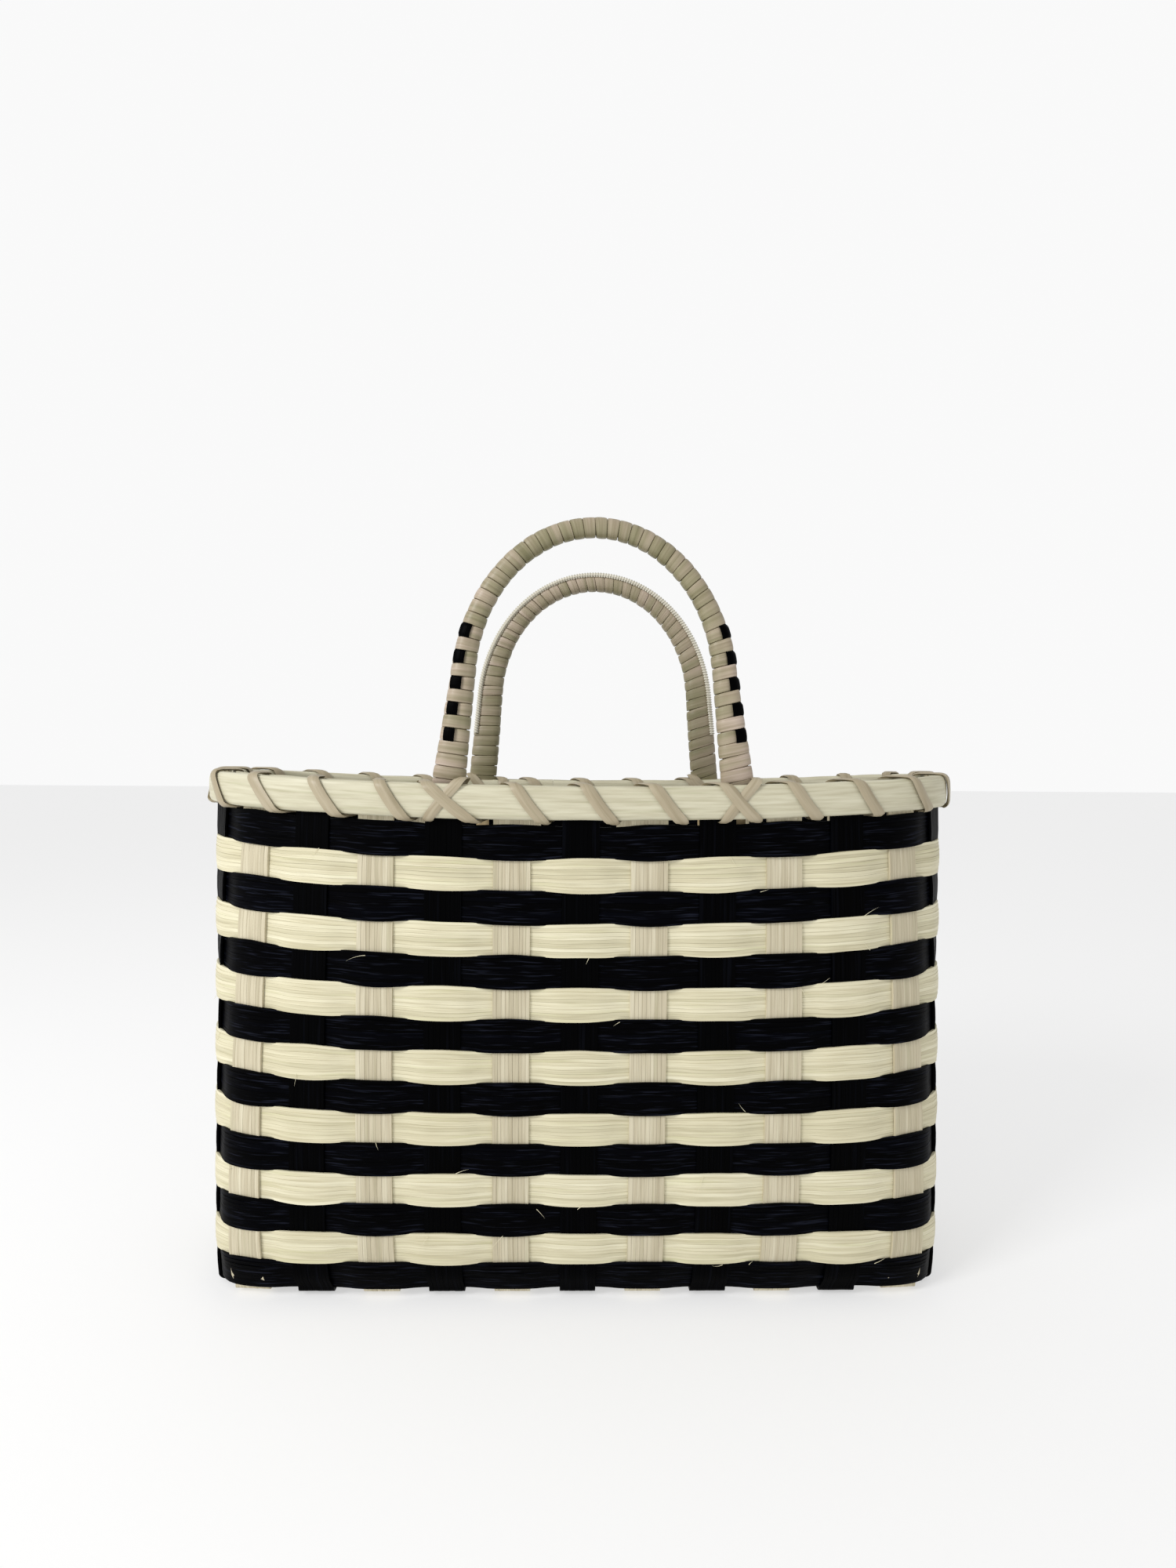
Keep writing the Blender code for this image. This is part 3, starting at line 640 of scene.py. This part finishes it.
def arch_path(facing, steps):
    """Centre line of a handle above the rim as arrays of x, height and outward direction (x and z)."""
    half_width = ARCH_HALF_WIDTH[facing]
    rise = ARCH_HEIGHT[facing]
    lean = LEG_LEAN[facing]
    spring = math.asin((LEG_TOP - ARCH_CENTRE) / rise)
    share = np.linspace(-1, 1, steps)
    reach = np.abs(share)
    sign = np.where(share < 0, -1.0, 1.0)
    leg = reach > 1 - LEG_SHARE
    leg_height = WRAP_FOOT + (LEG_TOP - WRAP_FOOT) * (1 - reach) / LEG_SHARE
    leg_x = half_width * math.cos(spring) + lean * (LEG_TOP - leg_height)
    arc = math.pi / 2 - (math.pi / 2 - spring) * reach / (1 - LEG_SHARE)
    height = np.where(leg, leg_height, ARCH_CENTRE + rise * np.sin(arc))
    x = np.where(leg, leg_x, half_width * np.cos(arc)) * sign
    out_x = np.where(leg, 1.0, np.cos(arc) / half_width) * sign
    out_z = np.where(leg, lean, np.sin(arc) / rise)
    size = np.hypot(out_x, out_z)
    return x, height, out_x / size, out_z / size


class Handle:
    """A handle's centre line and the surface that its wrapping follows."""

    def __init__(self, facing):
        self.facing = facing
        x, height, out_x, out_z = arch_path(facing, 801)
        rim_z = level_height(WEAVERS) + BAND_TOP
        y = rim_points(leg_place(facing, 1), [TONGUE_OFFSET], 0)[0][1]
        self.centres = np.column_stack([HANDLE_SHIFT[facing] + x, np.full(len(x), y), rim_z + height])
        self.outward = np.column_stack([out_x, np.zeros(len(x)), out_z])
        self.run = path_length(self.centres)
        self.length = self.run[-1]
        self.width = np.interp(height, *zip(*WRAP_WIDTHS[facing]))
        self.depth = np.interp(height, *zip(*WRAP_DEPTHS))

    def at(self, values, s):
        """Any of the tables above at distances along the centre line."""
        if values.ndim == 1:
            return np.interp(s, self.run, values)
        return np.column_stack([np.interp(s, self.run, column) for column in values.T])

    def surface(self, s, angle, lift):
        """Points and normals. Angle 0 is the outward side, a quarter turn the side away from the basket."""
        outward = unit(self.at(self.outward, s))
        half_width = self.at(self.width, s) / 2
        half_depth = self.at(self.depth, s) / 2
        c = signed_power(np.cos(angle), 2 / HANDLE_POWER)
        n = signed_power(np.sin(angle), 2 / HANDLE_POWER)
        away = np.array([0.0, self.facing, 0.0])
        normal_c = signed_power(c, HANDLE_POWER - 1) / half_width
        normal_n = signed_power(n, HANDLE_POWER - 1) / half_depth
        normal = unit(outward * normal_c[:, None] + away * normal_n[:, None])
        point = self.at(self.centres, s) + outward * (half_width * c)[:, None]
        point = point + away * (half_depth * n)[:, None]
        return point + normal * np.reshape(lift, (-1, 1)), normal

    def angle_at(self, across, s):
        """The angle of a point of the outer face that stands this far outward of the centre line."""
        share = np.clip(across / (self.at(self.width, s) / 2), -0.99, 0.99)
        return np.arccos(signed_power(share, HANDLE_POWER / 2))


def turn_edge(handle, middle, angle, offset, slant, lift):
    """One edge line of a turn of wrapping, offset along the handle from the turn's middle."""
    across = np.cos(angle) * handle.at(handle.width, np.array([middle])) / 2
    s = np.clip(middle + offset + slant * across, 0.0003, handle.length - 0.0003)
    return handle.surface(s, angle, lift)


def leg_step(handle):
    """Width of a turn of wrapping on the legs."""
    return handle.length / round(handle.length / TURN_PITCH)


def turn_bounds(handle):
    """Distances along a handle at which its turns meet: even up the legs, and closer over the arch."""
    leg = LEG_TURNS * leg_step(handle)
    up = np.arange(LEG_TURNS) * leg_step(handle)
    count = round((handle.length - 2 * leg) / ARCH_PITCH)
    over = np.linspace(leg, handle.length - leg, count + 1)
    return np.concatenate([up, over, handle.length - up[::-1]])


def make_wrap(name, facing, material):
    """The cane wound round a handle, one closed turn after another, over and under the black strips."""
    handle = Handle(facing)
    rng = np.random.default_rng(40 + facing)
    bounds = turn_bounds(handle)
    turns = len(bounds) - 1
    angle = np.linspace(0, 2 * math.pi, TURN_STEPS + 1)[:-1]
    bodies = Bodies()
    for turn in range(turns):
        middle = (bounds[turn] + bounds[turn + 1]) / 2
        step = bounds[turn + 1] - bounds[turn]
        from_foot = min(turn, turns - 1 - turn)
        side = -1 if turn < turns / 2 else 1
        strip = handle.angle_at(ACCENT_SHIFT[side], np.array([middle]))[0]
        near = np.exp(-(((angle - strip) / 0.5) ** 4))
        crossing = ACCENT_TURNS[0] <= from_foot <= ACCENT_TURNS[-1]
        under = from_foot in ACCENT_TURNS
        bulge = (-TURN_BULGE if under else TURN_BULGE) * near * crossing
        slant = 0.03 * rng.uniform(-1, 1) + np.interp(middle, (0, handle.length), TURN_SLANT[facing])
        half = step / 2 * (0.98 + 0.02 * wander(rng, len(angle), 5))
        low, normal = turn_edge(handle, middle, angle, -half, slant, bulge)
        high, _ = turn_edge(handle, middle, angle, half, slant, bulge)
        crown = TURN_CROWN + 0.0001 * rng.uniform(-1, 1)
        inner = -TURN_THICKNESS
        columns = [low + normal * inner * 0.6]
        for share, rise in ((0.04, 0.0), (0.22, 0.75), (0.5, 1.0), (0.78, 0.75), (0.96, 0.0)):
            columns.append(low * (1 - share) + high * share + normal * (crown * rise - 0.00012))
        columns.append(high + normal * inner * 0.6)
        columns.append((low + high) / 2 + normal * inner)
        sections = np.stack(columns, axis=1)
        across = np.array([0, 0.04, 0.22, 0.5, 0.78, 0.96, 1, 0.5]) * step
        key = rng.uniform(0, 50)
        # painted shade and light: each turn's tone is made darker on the inside of the arch and lighter on
        # its outside
        tone = turn_tone(rng, facing, turn, turns) + PAINTED_INSIDE_SHADE * np.cos(angle)
        bodies.loft(sections, path_length(sections[:, 3]), across, key, tone, closed=True)
    bodies.piece(name + "_turns", material, "handle_cane", name)
    return handle


def turn_tone(rng, facing, turn, turns):
    """Turns come from different canes, so neighbours differ, and the legs are toned apart from the arch."""
    foot = max(0.0, 1 - min(turn, turns - 1 - turn) / 20)
    return ARCH_TONE[facing] * (1 - foot) + FOOT_TONE[facing] * foot + rng.uniform(-0.2, 0.2)


def make_accent(name, handle, side, material):
    """A black strip laid up a leg's outer face, over every other turn and under those between."""
    step = leg_step(handle)
    s = np.linspace(ACCENT_TURNS[0] - 0.15, ACCENT_TURNS[-1] + 1.15, 90) * step
    first_middle = (ACCENT_TURNS[0] + 0.5) * step
    wave = np.tanh(2.4 * np.cos(math.pi * (s - first_middle) / step))
    lift = 0.0001 + 0.0005 * wave
    if side > 0:
        s = handle.length - s
    rows = []
    normals = []
    shares = np.linspace(-0.5, 0.5, 7)
    for share in shares:
        across = ACCENT_SHIFT[side] + ACCENT_WIDTH * share
        points, normal = handle.surface(s, handle.angle_at(across, s), lift)
        rows.append(points)
        normals.append(normal)
    outer = np.stack(rows, axis=1)
    inner = outer - np.stack(normals, axis=1) * ACCENT_THICKNESS
    sections = np.concatenate([outer, inner[:, ::-1]], axis=1)
    across = np.concatenate([shares, shares[::-1]]) * ACCENT_WIDTH
    bodies = Bodies()
    bodies.loft(sections, path_length(rows[0]), across, 5.0, 0.5)
    bodies.piece(name + "_strip", material, "black_splint", name)


def make_bead(name, handle, material):
    """A fine twisted cord along the handle's outer edge, on the side that faces the basket's middle."""
    s = np.linspace(BEAD_START, handle.length - BEAD_START, int(handle.length / BEAD_RIB * 5))
    line, normal = handle.surface(s, np.full(len(s), -math.pi / 4), BEAD_RADIUS * 0.55)
    tangent = unit(np.gradient(line, axis=0))
    side = np.cross(tangent, normal)
    columns = []
    for n in range(BEAD_SIDES):
        turn = 2 * math.pi * n / BEAD_SIDES
        swell = BEAD_RADIUS * (1 + 0.22 * np.cos(2 * math.pi * s / BEAD_RIB + turn))
        columns.append(line + (normal * math.cos(turn) + side * math.sin(turn)) * swell[:, None])
    bodies = Bodies()
    around = np.arange(BEAD_SIDES) / BEAD_SIDES * BEAD_RADIUS * 6
    bodies.loft(np.stack(columns, axis=1), s, around, 1.0, 0.7)
    bodies.piece(name + "_cord", material, "lashing_cane", name)


def make_core(name, handle, material):
    """The rattan inside the wrapping, flattened at each foot into a tongue behind the outer band."""
    facing = handle.facing
    sides = 14
    corner = -2 * math.pi * (np.arange(sides) + 0.5) / sides
    c = signed_power(np.cos(corner), 2 / HANDLE_POWER)
    n = signed_power(np.sin(corner), 2 / HANDLE_POWER)
    s = np.linspace(0.004, handle.length - 0.004, 61)
    centres = handle.at(handle.centres, s)
    outward = unit(handle.at(handle.outward, s))
    half_width = handle.at(handle.width, s) / 2 - CORE_INSET
    half_depth = handle.at(handle.depth, s) / 2 - CORE_INSET
    away = np.array([0.0, 1.0, 0.0])
    arch = centres[:, None] + outward[:, None] * (half_width[:, None] * c)[:, :, None]
    arch = arch + away * (half_depth[:, None] * n)[:, :, None]
    feet = []
    for side in (-1, 1):
        rows = []
        for height in np.linspace(-TONGUE_DEPTH, BAND_TOP + 0.001, 12):
            level = WEAVERS + min(height, 0.0) / TOP_ROW_HEIGHT
            point, along, out = wall(leg_place(facing, side), level)
            middle = point[0] + out[0] * TONGUE_OFFSET + np.array([0, 0, max(height, 0.0)])
            width = along[0] * (-facing * side) * TONGUE_WIDTH / 2
            depth = out[0] * facing * TONGUE_THICKNESS / 2
            rows.append(middle + width * c[:, None] + depth * n[:, None])
        feet.append(np.array(rows))
    sections = np.concatenate([feet[0], arch, feet[1][::-1]])
    bodies = Bodies()
    bodies.loft(sections, path_length(sections[:, 0]), np.arange(sides) * 0.002, 2.0, 0.5)
    bodies.piece(name + "_rattan", material, "rattan_core", name)


def make_fibres(material):
    """Short loose ends of splint that stand off the wall here and there."""
    rng = np.random.default_rng(77)
    bodies = Bodies()
    for _ in range(FIBRES):
        place = rng.uniform(0, STAKES_ROUND)
        level = float(rng.integers(1, WEAVERS)) + rng.uniform(-0.15, 0.15)
        point, along, out = (v[0] for v in wall(place, level))
        direction = unit(along * rng.uniform(-1, 1) + np.array([0, 0, 1]) * rng.uniform(-0.9, 0.9))
        length = rng.uniform(*FIBRE_LENGTHS)
        share = np.linspace(0, 1, 7)[:, None]
        line = point + out * (0.0018 + 0.0012 * share) + direction * length * share
        line = line + np.array([0, 0, 1]) * length * rng.uniform(-0.4, 0.4) * share**2
        size = FIBRE_RADIUS * (1.05 - share)
        side = np.cross(direction, out)
        columns = [line + out * size, line + side * size, line - side * size]
        bodies.loft(np.stack(columns, axis=1), share[:, 0] * length, np.zeros(3), 0.0, rng.uniform(0.5, 1))
    bodies.piece("loose_fibres", material, "natural_splint")


# Materials

LONG_STREAKS = (22, 520)  # so many to the metre along and across the grain
# painted highlight: fine bluish sheen streaks on the black weavers
PAINTED_SHEEN_STREAKS = (70, 1500)
BOLD_STREAKS = (16, 640)
FLOOR_GLOW = 0.52


class Finish:
    """A cane or splint material under construction."""

    def __init__(self, name, roughness, specular):
        self.material = bpy.data.materials.new(name)
        self.material.use_nodes = True
        self.nodes = self.material.node_tree.nodes
        self.links = self.material.node_tree.links
        self.shader = self.nodes["Principled BSDF"]
        self.shader.inputs["Roughness"].default_value = roughness
        self.shader.inputs["Specular IOR Level"].default_value = specular
        self.grain = self.attribute("grain").outputs["Vector"]

    def attribute(self, name):
        node = self.nodes.new("ShaderNodeAttribute")
        node.attribute_name = name
        return node

    def noise(self, along, across, detail, offset):
        """Noise with that many features to the metre along and across the grain."""
        stretch = self.nodes.new("ShaderNodeVectorMath")
        stretch.operation = "MULTIPLY_ADD"
        stretch.inputs[1].default_value = (along, across, 1.0)
        stretch.inputs[2].default_value = (offset, offset, offset)
        self.links.new(self.grain, stretch.inputs[0])
        node = self.nodes.new("ShaderNodeTexNoise")
        node.inputs["Scale"].default_value = 1.0
        node.inputs["Detail"].default_value = detail
        self.links.new(stretch.outputs["Vector"], node.inputs["Vector"])
        return node.outputs["Fac"]

    def remap(self, value, low, high, out_low, out_high):
        """Value stretched from one range to another, and held at its ends."""
        node = self.nodes.new("ShaderNodeMapRange")
        limits = {"From Min": low, "From Max": high, "To Min": out_low, "To Max": out_high}
        for socket, number in limits.items():
            node.inputs[socket].default_value = number
        self.links.new(value, node.inputs["Value"])
        return node.outputs["Result"]

    def combine(self, operation, a, b):
        """The sum or product of two values; b may be a plain number."""
        node = self.nodes.new("ShaderNodeMath")
        node.operation = operation
        self.links.new(a, node.inputs[0])
        if isinstance(b, float):
            node.inputs[1].default_value = b
        else:
            self.links.new(b, node.inputs[1])
        return node.outputs["Value"]

    def ramp(self, value, colours):
        """Evenly spaced colours along a value from 0 to 1."""
        node = self.nodes.new("ShaderNodeValToRGB")
        elements = node.color_ramp.elements
        while len(elements) < len(colours):
            elements.new(0.5)
        for n, colour in enumerate(colours):
            elements[n].position = n / (len(colours) - 1)
            elements[n].color = (*colour, 1.0)
        self.links.new(value, node.inputs["Fac"])
        return node.outputs["Color"]

    def mix(self, blend, share, a, b):
        """Two colours mixed; share or b may be plain values."""
        node = self.nodes.new("ShaderNodeMix")
        node.data_type = "RGBA"
        node.blend_type = blend
        for socket, given in ((node.inputs[0], share), (node.inputs[6], a), (node.inputs[7], b)):
            if isinstance(given, tuple):
                socket.default_value = (*given, 1.0)
            elif isinstance(given, float):
                socket.default_value = given
            else:
                self.links.new(given, socket)
        return node.outputs[2]

    def bump(self, height, strength, distance):
        node = self.nodes.new("ShaderNodeBump")
        node.inputs["Strength"].default_value = strength
        node.inputs["Distance"].default_value = distance
        self.links.new(height, node.inputs["Height"])
        self.links.new(node.outputs["Normal"], self.shader.inputs["Normal"])

    def colour(self, value):
        self.links.new(value, self.shader.inputs["Base Color"])
        return self.material


def cane_finish(name, shades, streak_and_sheen, fineness, roughness, specular, relief, streak_and_sheen_size=LONG_STREAKS):
    """Cane or splint: shades vary from body to body and along the grain, with fine lines and streaks. On the
    black weavers the streaks are a painted highlight, a bluish sheen.
    """
    finish = Finish(name, roughness, specular)
    tone = finish.combine("MULTIPLY", finish.attribute("tone").outputs["Fac"], 0.55)
    broad = finish.remap(finish.noise(14, 260, 3, 0), 0.25, 0.75, 0.0, 0.45)
    base = finish.ramp(finish.combine("ADD", tone, broad), shades)
    # streaks of the cane's own colour, and on the black weavers painted sheen
    streak_and_sheen_mask = finish.remap(finish.noise(*streak_and_sheen_size, 2, 7), 0.56, 0.72, 0.0, 0.55)
    base = finish.mix("MIX", streak_and_sheen_mask, base, streak_and_sheen)
    fine = finish.noise(45, fineness, 4, 3)
    lines = finish.ramp(finish.remap(fine, 0.3, 0.6, 0.0, 1.0), ((0.81, 0.79, 0.75), (1.0, 1.0, 1.0)))
    base = finish.mix("MULTIPLY", 1.0, base, lines)
    finish.bump(fine, relief, 0.0003)
    return finish.colour(base)


def floor_finish():
    """Matt off-white board with the faintest mottle."""
    material = bpy.data.materials.new("studio_floor")
    material.use_nodes = True
    nodes = material.node_tree.nodes
    shader = nodes["Principled BSDF"]
    shader.inputs["Roughness"].default_value = 0.9
    shader.inputs["Specular IOR Level"].default_value = 0.1
    noise = nodes.new("ShaderNodeTexNoise")
    noise.inputs["Scale"].default_value = 3.0
    ramp = nodes.new("ShaderNodeValToRGB")
    ramp.color_ramp.elements[0].color = (0.46, 0.46, 0.46, 1.0)
    ramp.color_ramp.elements[1].color = (0.47, 0.47, 0.47, 1.0)
    shader.inputs["Emission Color"].default_value = (1.0, 1.0, 1.0, 1.0)
    shader.inputs["Emission Strength"].default_value = FLOOR_GLOW
    links = material.node_tree.links
    links.new(noise.outputs["Fac"], ramp.inputs["Fac"])
    links.new(ramp.outputs["Color"], shader.inputs["Base Color"])
    return material


# Studio

CAMERA_PLACE = (-0.0038, -0.4654, 0.2340)
CAMERA_YAW = 0.0165
CAMERA_DIP = 0.0227
CAMERA_ROLL = 0.007
CAMERA_LENS = 22.14  # mm, on a 36 mm sensor along the picture's long side
SURROUND = (0.95, 0.95, 0.95, 1.0)
FILL_STRENGTH = 0.72
FLOOR_REACH = 8.0


def make_camera():
    """Eye level with the rim, looking slightly down at the front of the basket."""
    camera = bpy.data.cameras.new("camera")
    camera.lens = CAMERA_LENS
    camera.sensor_width = 36.0
    camera.clip_start = 0.01
    obj = bpy.data.objects.new("camera", camera)
    bpy.context.scene.collection.objects.link(obj)
    forward = np.array([math.sin(CAMERA_YAW), math.cos(CAMERA_YAW), -math.tan(CAMERA_DIP)])
    forward = forward / np.linalg.norm(forward)
    right = np.cross(forward, [0, 0, 1])
    right = right / np.linalg.norm(right)
    up = np.cross(right, forward)
    right, up = (
        right * math.cos(CAMERA_ROLL) + up * math.sin(CAMERA_ROLL),
        up * math.cos(CAMERA_ROLL) - right * math.sin(CAMERA_ROLL),
    )
    turn = Matrix([[right[i], up[i], -forward[i]] for i in range(3)]).to_4x4()
    obj.matrix_world = Matrix.Translation(CAMERA_PLACE) @ turn
    bpy.context.scene.camera = obj


def area_light(name, place, target, size, power):
    """A square soft box aimed at a point."""
    light = bpy.data.lights.new(name, "AREA")
    light.size = size
    light.energy = power
    obj = bpy.data.objects.new(name, light)
    bpy.context.scene.collection.objects.link(obj)
    aim = Vector(target) - Vector(place)
    obj.rotation_euler = aim.to_track_quat("-Z", "Y").to_euler()
    obj.location = place


def make_studio():
    """A wide pale floor, an even pale surround and soft light from the upper left."""
    mesh = bpy.data.meshes.new("floor")
    corners = [(x * FLOOR_REACH, y * FLOOR_REACH, 0) for x, y in ((-1, -1), (1, -1), (1, 1), (-1, 1))]
    mesh.from_pydata(corners, [], [(0, 1, 2, 3)])
    floor = bpy.data.objects.new("floor", mesh)
    bpy.context.scene.collection.objects.link(floor)
    mesh.materials.append(floor_finish())
    world = bpy.data.worlds.new("surround")
    world.use_nodes = True
    nodes = world.node_tree.nodes
    links = world.node_tree.links
    seen = nodes["Background"]
    seen.inputs["Color"].default_value = SURROUND
    fill = nodes.new("ShaderNodeBackground")
    fill.inputs["Color"].default_value = SURROUND
    fill.inputs["Strength"].default_value = FILL_STRENGTH
    path = nodes.new("ShaderNodeLightPath")
    choice = nodes.new("ShaderNodeMixShader")
    links.new(path.outputs["Is Camera Ray"], choice.inputs["Fac"])
    links.new(fill.outputs["Background"], choice.inputs[1])
    links.new(seen.outputs["Background"], choice.inputs[2])
    links.new(choice.outputs["Shader"], nodes["World Output"].inputs["Surface"])
    bpy.context.scene.world = world
    area_light("key", (-1.0, -0.9, 0.9), (0, 0, 0.15), 0.5, 13.0)
    bpy.context.scene.view_settings.view_transform = "Standard"


make_camera()
make_studio()

natural = cane_finish(
    "natural_splint",
    shades=((0.58, 0.54, 0.37), (0.70, 0.65, 0.46), (0.81, 0.77, 0.58)),
    streak_and_sheen=(0.64, 0.62, 0.38),
    fineness=1500,
    roughness=0.5, specular=0.25, relief=0.2,
)
natural_stake = cane_finish(
    "natural_stake",
    shades=((0.48, 0.43, 0.30), (0.59, 0.53, 0.385), (0.71, 0.66, 0.50)),
    streak_and_sheen=(0.52, 0.49, 0.33),
    fineness=1500,
    roughness=0.55, specular=0.25, relief=0.3,
)
# the streak colour here is a painted bluish highlight, fine lines of sheen over the black
black = cane_finish(
    "black_splint",
    shades=((0.0002, 0.0002, 0.0003), (0.0004, 0.0004, 0.0008), (0.0008, 0.001, 0.0025)),
    streak_and_sheen=(0.018, 0.021, 0.036),
    fineness=1500,
    roughness=0.42, specular=0.02, relief=0.5,
    streak_and_sheen_size=PAINTED_SHEEN_STREAKS,
)
black_stake = cane_finish(
    "black_stake",
    shades=((0.0002, 0.0002, 0.0003), (0.0003, 0.0003, 0.0005), (0.0005, 0.0006, 0.001)),
    streak_and_sheen=(0.003, 0.0035, 0.006),
    fineness=1500,
    roughness=0.45, specular=0.02, relief=0.5,
)
bead_cane = cane_finish(
    "bead_cane",
    shades=((0.55, 0.52, 0.42), (0.66, 0.63, 0.53), (0.76, 0.73, 0.64)),
    streak_and_sheen=(0.48, 0.46, 0.36),
    fineness=900,
    roughness=0.45, specular=0.3, relief=0.15,
)
rim_cane = cane_finish(
    "rim_cane",
    shades=((0.52, 0.48, 0.35), (0.62, 0.59, 0.44), (0.72, 0.69, 0.54)),
    streak_and_sheen=(0.46, 0.45, 0.29),
    fineness=900,
    roughness=0.45, specular=0.3, relief=0.3,
)
lashing_cane = cane_finish(
    "lashing_cane",
    shades=((0.34, 0.29, 0.19), (0.42, 0.36, 0.25), (0.52, 0.46, 0.34)),
    streak_and_sheen=(0.36, 0.32, 0.21),
    fineness=500,
    roughness=0.4, specular=0.3, relief=0.15,
)
handle_cane = cane_finish(
    "handle_cane",
    shades=((0.19, 0.18, 0.09), (0.29, 0.26, 0.16), (0.41, 0.34, 0.25), (0.58, 0.47, 0.41)),
    streak_and_sheen=(0.20, 0.19, 0.10),
    fineness=1100,
    roughness=0.42, specular=0.35, relief=0.35,
    streak_and_sheen_size=BOLD_STREAKS,
)
rattan = cane_finish(
    "rattan_core",
    shades=((0.38, 0.28, 0.15), (0.48, 0.37, 0.21), (0.55, 0.44, 0.28)),
    streak_and_sheen=(0.36, 0.27, 0.15),
    fineness=900,
    roughness=0.6, specular=0.3, relief=0.4,
)

weaver_looks = ((black, "black_splint"), (natural, "natural_splint"))
stake_looks = ((black_stake, "black_splint"), (natural_stake, "natural_splint"))

for row in range(WEAVERS):
    make_weaver(row, *weaver_looks[row % 2])

for stake in range(-MIDDLE, MIDDLE + 1):
    name = f"cross_stake_{stake + MIDDLE + 1:02d}"
    east = np.array([1.0, 0.0, 0.0])
    make_stake(name, stake, STAKES_ROUND / 2 - stake, east, cross_rise, *stake_looks[stake % 2], 200 + stake)

for number in range(3):
    stake = SIDE_MIDDLE - 1 + number
    name = f"long_stake_{number + 1}"
    north = np.array([0.0, 1.0, 0.0])
    rise = long_rise(stake)
    make_stake(name, stake, STAKES_ROUND - stake, north, rise, *stake_looks[stake % 2], 300 + number)

make_band("rim_outer_band", OUTER_BAND, rim_cane, 61)
make_band("rim_inner_band", INNER_BAND, rim_cane, 62)
make_lashing(lashing_cane)

for facing, end in ((FRONT, "front"), (REAR, "rear")):
    handle = make_wrap(f"{end}_handle_wrap", facing, handle_cane)
    make_core(f"{end}_handle_core", handle, rattan)
    make_bead(f"{end}_handle_bead", handle, bead_cane)
    for side, hand in ((-1, "left"), (1, "right")):
        make_accent(f"{end}_handle_accent_{hand}", handle, side, black_stake)
        make_tie(f"{end}_{hand}_handle_tie", facing, side, lashing_cane)

make_fibres(natural)
